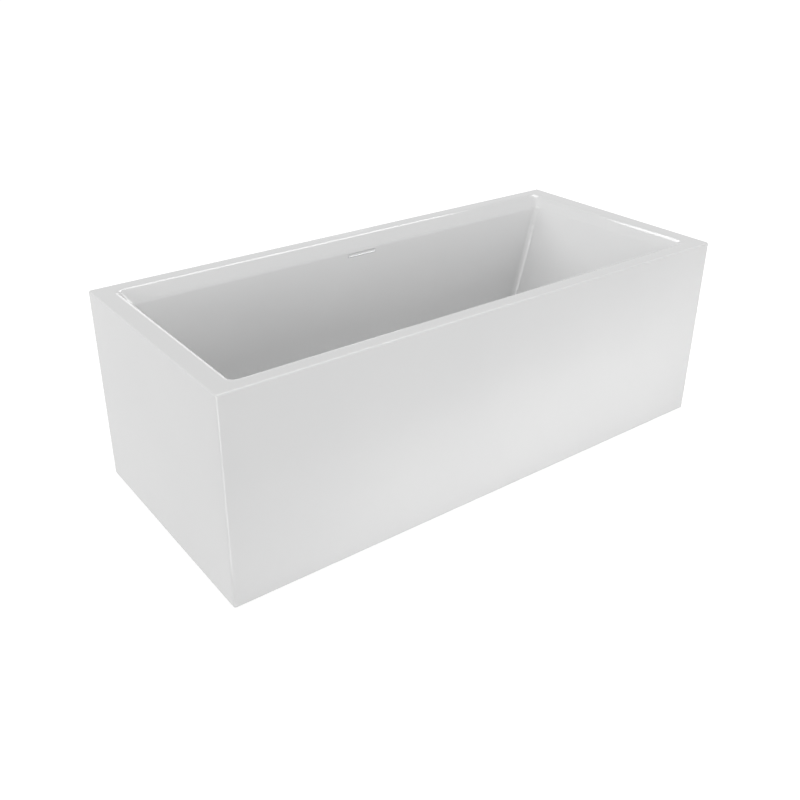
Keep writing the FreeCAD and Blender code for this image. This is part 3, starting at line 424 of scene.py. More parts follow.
def addMesh(name, mesh, finish, body, stands=(), smoothTo=smoothBelow):
    mesh.name = name
    shadeSmooth(mesh, smoothTo)
    mat, slot = finishes[finish]
    mesh.materials.clear()
    mesh.materials.append(mat)
    piece = linked(name, mesh)
    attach(piece, body)
    if stands:
        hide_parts(*stands)
    return piece


def addPiece(name, bm, finish, body, stands=(), smoothTo=smoothBelow):
    faceOutwards(bm)
    return addMesh(name, meshFrom(name, bm), finish, body, stands, smoothTo)


def carve(piece, cutter):
    cut = piece.modifiers.new("carve", "BOOLEAN")
    cut.operation = "DIFFERENCE"
    cut.solver = "EXACT"
    cut.object = cutter
    evaluated = piece.evaluated_get(bpy.context.evaluated_depsgraph_get())
    mesh = bpy.data.meshes.new_from_object(evaluated)
    piece.modifiers.clear()
    piece.data = mesh
    shadeSmooth(mesh, smoothBelow)
    bpy.data.objects.remove(cutter)


# loops and profiles

def cornerArc(before, here, after, radius, steps, hold):
    into = (here - before).normalized()
    out = (after - here).normalized()
    turn = into.angle(out)
    setback = radius * math.tan(turn / 2)
    start = here - into * setback
    side = Vector((-into.y, into.x))
    if side.dot(out) < 0:
        side = -side
    centre = start + side * radius
    angles = [turn * step / steps for step in range(steps + 1)]
    points = [centre + (into * math.sin(a) - side * math.cos(a)) * radius for a in angles]
    if hold:                 # a short straight at both ends keeps the flat faces' shading flat
        points = [start - into * hold, *points, here + out * (setback + hold)]
    return points


def roundedRun(corners, rounds, arcSteps, hold=0.0, fill=None):
    run = []                 # points along a bent line, each with the corner it belongs to
    corners = [Vector(corner) for corner in corners]
    last = len(corners) - 1
    fill = fill or [0] * len(corners)
    for index, (here, radius) in enumerate(zip(corners, rounds)):
        if index in (0, last) or radius == 0:
            run.append((here, index))
        else:
            arc = cornerArc(corners[index - 1], here, corners[index + 1], radius, arcSteps, hold)
            run += [(point, index) for point in arc]
        if index < last:     # more points on the straight to the next corner
            begin = run[-1][0]
            shares = [step / (fill[index] + 2) for step in range(1, fill[index] + 1)]
            run += [(begin.lerp(corners[index + 1], share), index + share) for share in shares]
    return run


def sectionRun(rows, size):
    across, levels, rounds, plan, fill = zip(*rows)
    return roundedRun(list(zip(across, levels)), rounds, size["arcSteps"], size["hold"], fill), plan


def planAt(plan, tag):
    low = int(tag)
    high = min(low + 1, len(plan) - 1)
    return plan[low] + (plan[high] - plan[low]) * (tag - low)


plate = {"cornerSteps": 10, "sideSteps": 8, "sideHold": 0.002}


def plateLoop(bm, halfX, halfY, radius, levelX, levelY):
    steps, pieces, hold = plate["cornerSteps"], plate["sideSteps"], plate["sideHold"]
    points = []
    for turn in range(4):    # a corner, then the straight side after it
        signX = 1 if turn in (0, 3) else -1
        signY = 1 if turn in (0, 1) else -1
        alongX = turn in (0, 2)
        centre = Vector((signX * (halfX - radius), signY * (halfY - radius)))
        for step in range(steps + 1):
            angle = quarter * (turn + step / steps)
            share = math.asin(min(1.0, abs(math.sin(angle)))) / quarter
            share = share * share * (3 - 2 * share)
            level = levelX + (levelY - levelX) * share
            points.append(Vector((*(centre + Vector((math.cos(angle), math.sin(angle))) * radius), level)))
        level = levelY if alongX else levelX
        length = 2 * ((halfX if alongX else halfY) - radius)
        along = Vector((-signX, 0)) if alongX else Vector((0, -signY))
        begin = Vector(points[-1][:2])
        stops = [hold] + [length * k / pieces for k in range(1, pieces)] + [length - hold]
        points += [Vector((*(begin + along * stop), level)) for stop in stops]
    return [bm.verts.new(p) for p in points]


def joinLoops(bm, first, second):
    if len(first) < len(second):
        first, second = second, first
    count = len(first)
    for k in range(count):
        n = (k + 1) % count
        if len(second) == 1:
            bm.faces.new((first[k], first[n], second[0]))
        else:
            bm.faces.new((first[k], first[n], second[n], second[k]))


def joinAll(bm, loops, closed=False):
    for first, second in zip(loops, loops[1:] + (loops[:1] if closed else [])):
        joinLoops(bm, first, second)


def ringLoop(bm, radius, level, steps, centre=(0.0, 0.0)):
    x, y = centre
    if radius == 0:
        return [bm.verts.new((x, y, level))]
    turns = [fullTurn * k / steps for k in range(steps)]
    return [bm.verts.new((x + radius * math.cos(a), y + radius * math.sin(a), level)) for a in turns]


def spinProfile(bm, profile, steps, centre=(0.0, 0.0), closed=False):
    joinAll(bm, [ringLoop(bm, radius, level, steps, centre) for radius, level in profile], closed)


def roundedProfile(corners, rounds, arcSteps=4):
    return [tuple(point) for point, _ in roundedRun(corners, rounds, arcSteps)]


def loopEdges(bm, loop):
    return [bm.edges.get((a, b)) or bm.edges.new((a, b)) for a, b in zip(loop, loop[1:] + loop[:1])]


def fillBetween(bm, outer, inner):
    edges = loopEdges(bm, outer) + loopEdges(bm, inner)
    bmesh.ops.triangle_fill(bm, use_beauty=True, use_dissolve=False, edges=edges)


def roundEdges(bm, edges, width, steps):
    bmesh.ops.bevel(bm, geom=edges, offset=width, segments=steps, profile=0.5,
                    affect="EDGES", clamp_overlap=True)


facets = {"perSide": 6, "faceShare": 0.97, "chamfer": 30}    # the turned chamfer's start and its degrees


def facetedBlock(bm, sides, corner, low, high, centre=(0.0, 0.0), bore=0.0, chamfers=(True, True)):
    flat = corner * math.cos(math.pi / sides)
    count = sides * facets["perSide"]
    face = facets["faceShare"] * flat
    slope = math.tan(math.radians(facets["chamfer"]))

    def edgeLoop(level, sign):
        loop = []
        for k in range(count):
            a = fullTurn * k / count
            reach = flat / math.cos(a % (fullTurn / sides) - math.pi / sides)
            x = centre[0] + reach * math.cos(a)
            y = centre[1] + reach * math.sin(a)
            loop.append(bm.verts.new((x, y, level + sign * (reach - face) * slope)))
        return loop

    loops = [ringLoop(bm, bore, low, count, centre), ringLoop(bm, face, low, count, centre)]
    loops += [edgeLoop(low, 1 if chamfers[0] else 0), edgeLoop(high, -1 if chamfers[1] else 0)]
    loops += [ringLoop(bm, face, high, count, centre), ringLoop(bm, bore, high, count, centre)]
    joinAll(bm, loops, closed=bore > 0)


# Geometry Nodes: copies at points, and a thread swept along a spiral

def newTree(name, sockets):
    tree = bpy.data.node_groups.new(name, "GeometryNodeTree")
    ids = {}
    for label, kind in {"Geometry": "Geometry", **sockets}.items():
        socket = tree.interface.new_socket(label, in_out="INPUT", socket_type="NodeSocket" + kind)
        ids[label] = socket.identifier
    tree.interface.new_socket("Geometry", in_out="OUTPUT", socket_type="NodeSocketGeometry")
    return tree, ids, addNode(tree, "NodeGroupInput").outputs


def closeTree(tree, finish, parts):
    join = addNode(tree, "GeometryNodeJoinGeometry")
    for part in parts:
        feed(tree, join, {0: part})
    realize = addNode(tree, "GeometryNodeRealizeInstances", {"Geometry": join.outputs[0]})
    paint = addNode(tree, "GeometryNodeSetMaterial", {"Geometry": realize.outputs[0], "Material": finish})
    addNode(tree, "NodeGroupOutput", {0: paint.outputs[0]})


def copiesTree():
    sockets = {"Base": "Object", "Template": "Object", "Finish": "Material"}
    tree, ids, start = newTree("copiesAtPoints", sockets)
    base = addNode(tree, "GeometryNodeObjectInfo", {"Object": start["Base"]})
    single = addNode(tree, "GeometryNodeObjectInfo", {"Object": start["Template"]})
    turn = addNode(tree, "GeometryNodeInputNamedAttribute", {"Name": "turn"})
    turn.data_type = "FLOAT_VECTOR"
    rotate = addNode(tree, "FunctionNodeEulerToRotation", {"Euler": turn.outputs["Attribute"]})
    scatter = addNode(tree, "GeometryNodeInstanceOnPoints", {
        "Points": start["Geometry"], "Instance": single.outputs["Geometry"],
        "Rotation": rotate.outputs["Rotation"]})
    closeTree(tree, start["Finish"], [base.outputs["Geometry"], scatter.outputs["Instances"]])
    return tree, ids


threadSteps = {"perTurn": 24, "ridgeSides": 3}


def threadTree():
    tree, ids, start = newTree("sweptThread", {"Radius": "Float", "Ridge": "Float", "Pitch": "Float",
                                               "Turns": "Float", "At": "Vector", "Finish": "Material"})
    rise = addNode(tree, "ShaderNodeMath", {0: start["Pitch"], 1: start["Turns"]})
    rise.operation = "MULTIPLY"
    spiral = addNode(tree, "GeometryNodeCurveSpiral", {
        "Resolution": threadSteps["perTurn"], "Rotations": start["Turns"], "Start Radius": start["Radius"],
        "End Radius": start["Radius"], "Height": rise.outputs[0], "Reverse": True})
    ridge = addNode(tree, "GeometryNodeCurvePrimitiveCircle", {
        "Resolution": threadSteps["ridgeSides"], "Radius": start["Ridge"]})
    sweep = addNode(tree, "GeometryNodeCurveToMesh", {
        "Curve": spiral.outputs["Curve"], "Profile Curve": ridge.outputs["Curve"], "Fill Caps": True})
    move = addNode(tree, "GeometryNodeTransform", {
        "Geometry": sweep.outputs["Mesh"], "Translation": start["At"]})
    closeTree(tree, start["Finish"], [start["Geometry"], move.outputs["Geometry"]])
    return tree, ids


copying = copiesTree()
threading = threadTree()


def bakeNodes(holder, treeAndIds, values):
    tree, ids = treeAndIds
    mod = holder.modifiers.new("nodes", "NODES")
    mod.node_group = tree
    for label, value in values.items():
        mod[ids[label]] = value
    evaluated = holder.evaluated_get(bpy.context.evaluated_depsgraph_get())
    mesh = bpy.data.meshes.new_from_object(evaluated)
    bpy.data.objects.remove(holder)
    return mesh


def copiesAt(name, places, template, finish, base=None):
    mesh = bpy.data.meshes.new(name)
    mesh.from_pydata([at for at, _ in places], [], [])
    turn = mesh.attributes.new("turn", "FLOAT_VECTOR", "POINT")
    turn.data.foreach_set("vector", [angle for _, angles in places for angle in angles])
    values = {"Template": template, "Finish": finishes[finish][0]}
    if base:
        values["Base"] = base
    result = bakeNodes(linked(name, mesh), copying, values)
    for helper in (template, base):
        if helper:
            bpy.data.objects.remove(helper)
    return result


def spokes(at, count):
    return [(at, (0, 0, fullTurn * k / count)) for k in range(count)]


def threaded(core, size, tip, at=(0.0, 0.0)):
    start = size["threadFrom"]
    long = tip - size["threadEnd"] - start
    values = {"Radius": size["core"], "Ridge": size["ridge"], "Pitch": size["pitch"],
              "Turns": long / size["pitch"], "At": (*at, start), "Finish": finishes["fastener_steel"][0]}
    return bakeNodes(core, threading, values)


# basin: rim, shoulder, leaning walls and floor in one smooth shell

tub = {
    "height": 0.585, "lipLow": 0.565, "shoulderLevel": 0.552, "floorLevel": 0.140, "underLevel": 0.133,
    "wall": 0.007, "rimPlate": 0.006, "lipWall": 0.006, "flatInset": 0.05,
    "ends": {"half": 0.850, "rim": 0.7885, "rimUnder": 0.794, "rimRound": 0.022,
             "shoulder": 0.770, "shoulderUnder": 0.784, "floor": 0.596},
    "sides": {"half": 0.375, "rim": 0.331, "rimUnder": 0.329, "rimRound": 0.014,
              "shoulder": 0.292, "shoulderUnder": 0.292, "floor": 0.238},
    "topRound": 0.004, "shoulderRound": 0.018, "floorRound": 0.032,     # in section
    "lipRound": 0.001, "plateRound": 0.002, "bendRound": 0.004,
    "edgeRound": 0.006, "rimCorner": 0.024, "shoulderCorner": 0.018,    # in plan
    "floorCorner": 0.016, "lipCorner": 0.001, "flatCorner": 0.02,
    "arcSteps": 10, "hold": 0.0012,
    "drainY": 0.085, "recessRadius": 0.036, "recessLevel": 0.137, "boreRadius": 0.026, "drainSteps": 64,
    "bossX": 0.0725, "bossWide": 0.016, "bossTall": 0.008, "bossRound": 0.002,
}
# rows whose corner in plan follows their bend: the reach it is measured from, and the least corner
following = {1: ("floor", 0.012), 3: ("rim", 0.0), 4: ("half", 0.0022)}
overflow = {"below": 0.0135, "sleeve": (0.105, 0.0125, 0.0030), "sleeveMiddle": -0.00025, "gap": 0.0003,
            "cut": (-0.006, 0.013), "blockSteps": 6}
wallDrop = tub["shoulderLevel"] - tub["floorLevel"]
wallTilt = math.atan2(tub["sides"]["shoulder"] - tub["sides"]["floor"], wallDrop)
wallThick = tub["wall"] * math.cos(wallTilt)
overflowAt = Vector((0.0, tub["sides"]["shoulder"] - overflow["below"] * math.tan(wallTilt),
                     tub["shoulderLevel"] - overflow["below"]))
overflowDown = Vector((0.0, -math.sin(wallTilt), -math.cos(wallTilt)))
overflowOut = Vector((0.0, math.cos(wallTilt), -math.sin(wallTilt)))


def inOverflow(x, down, out):
    return overflowAt + Vector((x, 0, 0)) + overflowDown * down + overflowOut * out


def slotLoop(bm, width, height, radius, middle, out, steps, x=0.0, topShare=1.0):
    loop = []                # out is scaled by topShare at the loop's upper side
    for turn, (signX, signY) in enumerate(((1, 1), (-1, 1), (-1, -1), (1, -1))):
        centreX = x + signX * (width / 2 - radius)
        centreDown = middle + signY * (height / 2 - radius)
        for k in range(steps + 1):
            a = quarter * (turn + k / steps)
            down = centreDown + radius * math.sin(a)
            share = topShare + (1 - topShare) * ((down - middle) / height + 0.5)
            loop.append(bm.verts.new(inOverflow(centreX + radius * math.cos(a), down, out * share)))
    return loop


def slotBlock(bm, width, height, radius, middle, outs, x=0.0):
    rings = [slotLoop(bm, width, height, radius, middle, out, overflow["blockSteps"], x) for out in outs]
    joinLoops(bm, *rings)
    bm.faces.new(rings[0])
    bm.faces.new(list(reversed(rings[1])))


def basinRows(reach):        # across, level, round in section, round in plan, points on the straight after it
    t = tub
    wall, half = t["wall"], reach["half"]
    floor, shoulder, top, under = t["floorLevel"], t["shoulderLevel"], t["height"], t["underLevel"]
    plateLow = top - t["rimPlate"]
    lipInner = half - t["lipWall"]
    flat = reach["floor"] - t["flatInset"]
    bend = reach["shoulderUnder"]
    slope = (reach["rimUnder"] - bend) / (top - shoulder)
    plateEnd = reach["rimUnder"] + wall - slope * t["rimPlate"]
    wallFoot = bend - (bend - reach["floor"]) * ((shoulder - under) / (shoulder - floor)) + wall
    return [
        (flat, floor, 0, t["flatCorner"], 0),
        (reach["floor"], floor, t["floorRound"], t["floorCorner"], 8),
        (reach["shoulder"], shoulder, t["shoulderRound"], t["shoulderCorner"], 0),
        (reach["rim"], top, reach["rimRound"], t["rimCorner"], 2),
        (half, top, t["topRound"], t["edgeRound"], 3),
        (half, t["lipLow"], 0, t["edgeRound"], 0),
        (lipInner, t["lipLow"], 0, t["lipCorner"], 1),
        (lipInner, plateLow, t["lipRound"], t["lipCorner"], 2),
        (plateEnd, plateLow, t["plateRound"], t["rimCorner"] + wall, 1),
        (bend + wall, shoulder, t["bendRound"], t["shoulderCorner"] + wall, 6),
        (wallFoot, under, t["floorRound"] + wall, t["floorCorner"] + wall, 0),
        (flat, under, 0, t["flatCorner"], 0),
    ]


def addDrain(bm, floorLoop, underLoop):
    t = tub
    drain = [ringLoop(bm, radius, level, t["drainSteps"], (0.0, t["drainY"])) for radius, level in (
        (t["recessRadius"], t["floorLevel"]), (t["recessRadius"], t["recessLevel"]),
        (t["boreRadius"], t["recessLevel"]), (t["boreRadius"], t["underLevel"]))]
    fillBetween(bm, floorLoop, drain[0])
    joinAll(bm, drain)
    fillBetween(bm, underLoop, drain[-1])


def cutOverflow(piece):
    width, height, corner = overflow["sleeve"]
    gap = overflow["gap"]
    bm = bmesh.new()
    slotBlock(bm, width + 2 * gap, height + 2 * gap, corner + gap, overflow["sleeveMiddle"], overflow["cut"])
    carve(piece, closedObject("slotCutter", bm))


def addBosses(piece):        # for the overflow's screws, rooted in the wall
    wide = tub["bossWide"]
    bm = bmesh.new()
    bm.from_mesh(piece.data)
    for side in (-1, 1):
        outs = (wallThick / 2, wallThick + tub["bossTall"])
        slotBlock(bm, wide, wide, tub["bossRound"], 0.0, outs, side * tub["bossX"])
    faceOutwards(bm)
    bm.to_mesh(piece.data)
    bm.free()
    piece.data.set_sharp_from_angle(angle=math.radians(smoothBelow))


def makeBasin():
    ends, sides = tub["ends"], tub["sides"]
    runX, plan = sectionRun(basinRows(ends), tub)
    runY, _ = sectionRun(basinRows(sides), tub)
    bm = bmesh.new()
    loops = []
    for (px, tag), (py, _) in zip(runX, runY):
        radius = planAt(plan, tag)
        if tag in following:
            name, least = following[tag]
            radius = max(least, radius + (px.x - ends[name] + py.x - sides[name]) / 2)
        loops.append(plateLoop(bm, px.x, py.x, radius, px.y, py.y))
    joinAll(bm, loops)
    addDrain(bm, loops[0], loops[-1])
    piece = addPiece("basinSkin", bm, "acrylic", "tub", ["basin_shell"])
    cutOverflow(piece)
    addBosses(piece)
    print("basin made,", len(piece.data.polygons), "faces")


# skirt: outer walls with a bonding flange under the rim

skirt = {"low": 0.003, "top": 0.565, "wall": 0.005, "flangeLow": 0.560, "flangeWidth": 0.030,
         "footRound": 0.0012, "flangeRound": 0.002, "innerCorner": 0.001, "arcSteps": 5, "hold": 0.0012}


def skirtRows(half):         # the same columns as the basin's rows
    s = skirt
    inner = half - s["wall"]
    edge = half - s["flangeWidth"]
    outside, inside = tub["edgeRound"], s["innerCorner"]
    return [
        (inner, s["low"], 0, inside, 0),
        (half, s["low"], s["footRound"], outside, 5),
        (half, s["top"], 0, outside, 1),
        (edge, s["top"], 0, inside, 1),
        (edge, s["flangeLow"], 0, inside, 1),
        (inner, s["flangeLow"], s["flangeRound"], inside, 3),
        (inner, s["low"], 0, inside, 0),
    ]


def makeSkirt():
    runX, plan = sectionRun(skirtRows(tub["ends"]["half"]), skirt)
    runY, _ = sectionRun(skirtRows(tub["sides"]["half"]), skirt)
    bm = bmesh.new()
    loops = []
    for (px, tag), (py, _) in zip(runX[:-1], runY[:-1]):
        loops.append(plateLoop(bm, px.x, py.x, planAt(plan, tag), px.y, py.y))
    joinAll(bm, loops, closed=True)
    addPiece("skirtSkin", bm, "acrylic", "tub", ["outer_skirt"])
    print("skirt made")


# overflow trim: a rounded bright frame with a deeper lower lip, and a white liner in the slot

trim = {                     # slots have a width, a height and a corner
    "mouth": (0.102, 0.0074, 0.002), "mouthMiddle": -0.0013, "proud": 0.0012, "topShare": 0.25,
    "ramp": (0.102, 0.0072, 0.002), "rampMiddle": -0.0014, "rampOut": 0.0008,
    "throat": (0.102, 0.007, 0.002), "throatMiddle": -0.0015,
    "flange": (0.117, 0.0285, 0.004), "flangeThick": 0.002,
    "weir": (0.1014, 0.0069, 0.0016), "weirMiddle": -0.0014, "linerFrom": 0.0010, "linerLong": 0.0139,
    "crest": (0.1014, 0.0010, 0.0004), "crestMiddle": -0.0043, "crestOut": 0.0020,
    "linerGap": 0.0001, "linerThin": 0.0006, "beadSteps": 12, "cornerSteps": 8, "smoothTo": 50,
}


def makeTrim():
    t = trim
    sleeve, middle = overflow["sleeve"], overflow["sleeveMiddle"]
    end = wallThick + t["flangeThick"]
    rows = [(*t["throat"], t["throatMiddle"], end), (*t["ramp"], t["rampMiddle"], t["rampOut"])]
    for k in range(t["beadSteps"] + 1):
        share = k / t["beadSteps"]
        size = [a + (b - a) * share for a, b in zip(t["mouth"], sleeve)]
        centre = t["mouthMiddle"] + (middle - t["mouthMiddle"]) * share
        rows.append((*size, centre, -t["proud"] * math.sin(math.pi * share)))
    rows += [(*sleeve, middle, wallThick), (*t["flange"], middle, wallThick), (*t["flange"], middle, end)]
    bm = bmesh.new()
    loops = []
    for row in rows:
        proud = row[-1] < 0
        loops.append(slotLoop(bm, *row, t["cornerSteps"], topShare=t["topShare"] if proud else 1.0))
    joinAll(bm, loops, closed=True)
    piece = addPiece("overflowTrim", bm, "bright_metal", "tub", ["overflow_trim"], t["smoothTo"])
    piece.visible_diffuse = False    # keeps its glints off the wall
    makeLiner(end)
    print("overflow trim made")


def makeLiner(end):
    t = trim
    width, height, corner = t["throat"]
    middle, last = t["throatMiddle"], t["linerLong"]
    outer = (width - t["linerGap"], height - t["linerGap"], corner, middle)
    inner = (width - t["linerThin"], height - t["linerThin"], corner, middle)
    rows = [(*outer, end), (*t["weir"], t["weirMiddle"], t["linerFrom"]),
            (*t["crest"], t["crestMiddle"], t["crestOut"]), (*inner, last), (*outer, last)]
    bm = bmesh.new()
    joinAll(bm, [slotLoop(bm, *row, t["cornerSteps"]) for row in rows], closed=True)
    addPiece("overflowLiner", bm, "acrylic", "tub", smoothTo=t["smoothTo"])


# plain nodes: merged, with their edges rounded

dressing = [                 # names start with, round, steps, shortest edge rounded
    (("rim_batten", "skirt_batten"), 0.0015, 2, 0.012),
    (("base_board",), 0.0010, 2, 0.012),
    (("frame_rail", "frame_cross"), 0.0028, 3, 0.200),
    (("skirt_straps", "foot_plates"), 0.0008, 2, 0.012),
    (("rail_caps",), 0.0006, 2, 0.0),
    (("waste_gasket", "overflow_gasket", "plug_seal"), 0.0002, 1, 0.0),
    (("waste_flange", "plug_stem", "plug_cartridge", "overflow_pipe"), 0.0003, 2, 0.0),
    (("waste_body", "overflow_box"), 0.0006, 2, 0.0),
]
mending = {"merge": 1e-6, "flatBelow": 0.5, "sharpAbove": 35}    # a distance, and angles in degrees


def camelName(node):
    first, *others = node.split("_")
    return first + "".join(word.title() for word in others)


def dressNode(node, width, steps, shortest):
    bm = bmesh.new()
    bm.from_mesh(nodes[node].data)
    flat, sharp = math.radians(mending["flatBelow"]), math.radians(mending["sharpAbove"])
    bmesh.ops.remove_doubles(bm, verts=bm.verts, dist=mending["merge"])
    bmesh.ops.dissolve_limit(bm, angle_limit=flat, verts=bm.verts, edges=bm.edges)
    edges = [edge for edge in bm.edges if len(edge.link_faces) == 2 and edge.is_convex
             and edge.calc_face_angle() > sharp and edge.calc_length() >= shortest]
    roundEdges(bm, edges, width, steps)
    finish = slotOf[node]
    if finish == "timber":
        finish = "crossTimber" if node.endswith(("left", "right")) else "longTimber"
    return addPiece(camelName(node), bm, finish, body_of(nodes[node])[0], [node])


def makePlainNodes():
    count = 0
    for starts, width, steps, shortest in dressing:
        for node in nodes:
            if node.startswith(starts):
                dressNode(node, width, steps, shortest)
                count += 1
    print("plain pieces dressed,", count)


# welds where the frame's tubes and plates meet

weld = {
    "radius": 0.0024, "squash": (1.0, 0.86, 0.78), "subdivisions": 2,
    "step": 0.0028, "turnStep": (0.5, 0.9, 0.3),
    "crossX": (0.415, 0.445), "crossLow": 0.086, "crossHigh": 0.111, "railInner": 0.145, "railOuter": 0.175,
    "plateX": (0.472, 0.528), "plateLevel": 0.084, "tubeLow": 0.085,
}


def weldLines():
    w = weld
    lines = []
    for end in (-1, 1):
        for side in (-1, 1):
            inner, outer = side * w["railInner"], side * w["railOuter"]
            xs = [end * x for x in w["crossX"]]
            lines += [((x, inner, w["crossLow"]), (x, inner, w["crossHigh"])) for x in xs]
            lines.append(((xs[0], inner, w["crossLow"]), (xs[1], inner, w["crossLow"])))
            xs = [end * x for x in w["plateX"]]
            lines.append(((xs[0], outer, w["tubeLow"]), (xs[1], outer, w["tubeLow"])))
            lines += [((x, inner, w["plateLevel"]), (x, outer, w["plateLevel"])) for x in xs]
    return [(Vector(first), Vector(last)) for first, last in lines]


def makeWelds():
    w = weld
    places = []
    for first, last in weldLines():
        count = max(2, round((last - first).length / w["step"]))
        for k in range(count + 1):
            places.append((first.lerp(last, k / count), [k * turn for turn in w["turnStep"]]))
    bm = bmesh.new()
    bmesh.ops.create_icosphere(bm, subdivisions=w["subdivisions"], radius=w["radius"])
    bmesh.ops.scale(bm, vec=w["squash"], verts=bm.verts)
    mesh = copiesAt("weldBeads", places, looseObject("weldDrop", bm), "frame_steel")
    addMesh("weldBeads", mesh, "frame_steel", "tub")
    print("welds made,", len(places), "drops")


# screws: flanged hexagon heads under the rails, pan heads in the straps and the overflow's ears

frameScrew = {               # the head's levels are measured down from the seat
    "xs": (-0.410, -0.410 / 3, 0.410 / 3, 0.410), "y": 0.160, "seat": 0.085, "turnStep": 0.7,
    "sides": 6, "corner": 0.006, "head": 0.004, "hexEnd": 0.00055, "neck": 0.0054, "neckLevel": 0.00154,
    "flange": 0.0068, "edgeLevel": 0.00044, "rounds": (0, 0, 0.0003, 0.0002, 0, 0, 0, 0), "steps": 24,
    "core": 0.0026, "long": 0.043, "taper": 0.003, "tip": 0.0004,
    "ridge": 0.0004, "pitch": 0.0016, "threadFrom": 0.029, "threadEnd": 0.002,
}
panScrew = {
    "head": 0.004, "crown": 0.0016, "edgeShare": 0.3, "rounds": (0, 0.0025, 0.0008, 0.0001, 0, 0, 0, 0),
    "crossBars": ((0.0044, 0.0009), (0.000918, 0.0044)), "crossDeep": 0.0013, "steps": 28,
    "core": 0.0016, "taper": 0.002, "tip": 0.0003,
    "ridge": 0.00035, "pitch": 0.0014, "threadFrom": 0.002, "threadEnd": 0.002,
}
strapScrew = {"x": 0.300, "railY": 0.160, "railSeat": 0.082, "railTurn": 0.4,
              "battenY": 0.349, "levels": (0.025, 0.045), "tall": 0.0025, "long": 0.014}
earScrew = {"x": 0.0725, "seat": 0.011, "tall": 0.003, "long": 0.009}


def hexScrewTemplate():
    f = frameScrew
    core, long, neckLow = f["core"], f["long"], -f["neckLevel"]
    profile = [(0, neckLow), (f["neck"], neckLow), (f["flange"], -f["edgeLevel"]), (f["flange"], 0),
               (core, 0), (core, long - f["taper"]), (f["tip"], long), (0, long)]
    bm = bmesh.new()
    facetedBlock(bm, f["sides"], f["corner"], -f["head"], -f["hexEnd"], chamfers=(True, False))
    spinProfile(bm, roundedProfile(profile, f["rounds"]), f["steps"])
    return linked("hexScrew", threaded(closedObject("hexBlank", bm), f, long))


def panScrewTemplate(tall, long):
    p = panScrew
    head, core = p["head"], p["core"]
    profile = [(0, -tall), (p["crown"], -tall), (head, -tall * p["edgeShare"]), (head, 0),
               (core, 0), (core, long - p["taper"]), (p["tip"], long), (0, long)]
    bm = bmesh.new()
    spinProfile(bm, roundedProfile(profile, p["rounds"]), p["steps"])
    blank = closedObject("panHead", bm)
    bm = bmesh.new()
    for wide, deep in p["crossBars"]:
        block = bmesh.ops.create_cube(bm, size=1.0)["verts"]
        bmesh.ops.scale(bm, vec=(wide, deep, 2 * p["crossDeep"]), verts=block)
        bmesh.ops.translate(bm, vec=(0, 0, -tall), verts=block)
    carve(blank, looseObject("crossCutter", bm))
    return linked("panScrew", threaded(blank, p, long))


def addScrews(name, places, template, node):
    mesh = copiesAt(name, places, template, "fastener_steel")
    addMesh(name, mesh, "fastener_steel", "tub", [node])


def makeScrews():
    f, s, e = frameScrew, strapScrew, earScrew
    places = []
    for side in (-1, 1):
        places += [((x, side * f["y"], f["seat"]), (0, 0, f["turnStep"] * k)) for k, x in enumerate(f["xs"])]
    addScrews("frameScrews", places, hexScrewTemplate(), "frame_screws")
    places = []
    for end, side in cornerSigns.values():
        x = end * s["x"]
        places.append(((x, side * s["railY"], s["railSeat"]), (0, 0, s["railTurn"] * end)))
        places += [((x, side * s["battenY"], level), (-side * quarter, 0, 0)) for level in s["levels"]]
    addScrews("strapScrews", places, panScrewTemplate(s["tall"], s["long"]), "strap_screws")
    seat = wallThick + e["seat"]
    places = [(inOverflow(side * e["x"], 0, seat), (quarter - wallTilt, 0, 0)) for side in (-1, 1)]
    addScrews("overflowScrews", places, panScrewTemplate(e["tall"], e["long"]), "overflow_screws")
    print("screws made")


# levelling feet: ribbed pads, threaded studs and chamfered nuts

foot = {
    "x": 0.500, "y": 0.200, "padRadius": 0.032, "padEdge": 0.006, "hubBase": 0.015, "hub": 0.013,
    "crown": 0.012, "hubTall": 0.022, "socket": 0.00605, "sole": 0.006, "padSteps": 56,
    "padRounds": (0, 0.0014, 0.0018, 0.003, 0.0012, 0.0004, 0, 0),
    "nutSides": 6, "nutCorner": 0.0105, "bore": 0.00605, "nut": (0.071, 0.081), "lockNut": (0.085, 0.092),
}
padRib = {                   # its outline has distances from the axis and levels
    "outline": ((0.012, 0.010), (0.028, 0.005), (0.028, 0.0072), (0.012, 0.018)),
    "count": 10, "thick": 0.0022, "round": 0.0004, "roundSteps": 2,
}
stud = {
    "core": 0.0052, "ridge": 0.00075, "pitch": 0.00175, "threadFrom": 0.024, "threadEnd": 0.0012,
    "shank": 0.006, "shankEnd": 0.0048, "shankChamfer": 0.0012, "neckFrom": 0.0016, "neckTo": 0.0004,
    "top": 0.106, "tipChamfer": 0.0008, "steps": 32,
}


def ribTemplate():
    r = padRib
    half = r["thick"] / 2
    bm = bmesh.new()
    faces = [[bm.verts.new((x, y, z)) for x, z in r["outline"]] for y in (-half, half)]
    joinLoops(bm, *faces)
    for face in faces:
        bm.faces.new(face)
    faceOutwards(bm)
    roundEdges(bm, bm.edges[:], r["round"], r["roundSteps"])
    return looseObject("padRib", bm)


def makePad(name, at, corner):
    f = foot
    bm = bmesh.new()
    spinProfile(bm, roundedProfile(
        [(0, 0), (f["padRadius"], 0), (f["padRadius"], f["padEdge"]), (f["hubBase"], f["crown"]),
         (f["hub"], f["hubTall"]), (f["socket"], f["hubTall"]), (f["socket"], f["sole"]), (0, f["sole"])],
        f["padRounds"]), f["padSteps"], at)
    base = closedObject("padBase", bm)
    mesh = copiesAt(name, spokes((*at, 0.0), padRib["count"]), ribTemplate(), "foot_plastic", base)
    addMesh(name, mesh, "foot_plastic", "foot_" + corner, ["foot_pad_" + corner])


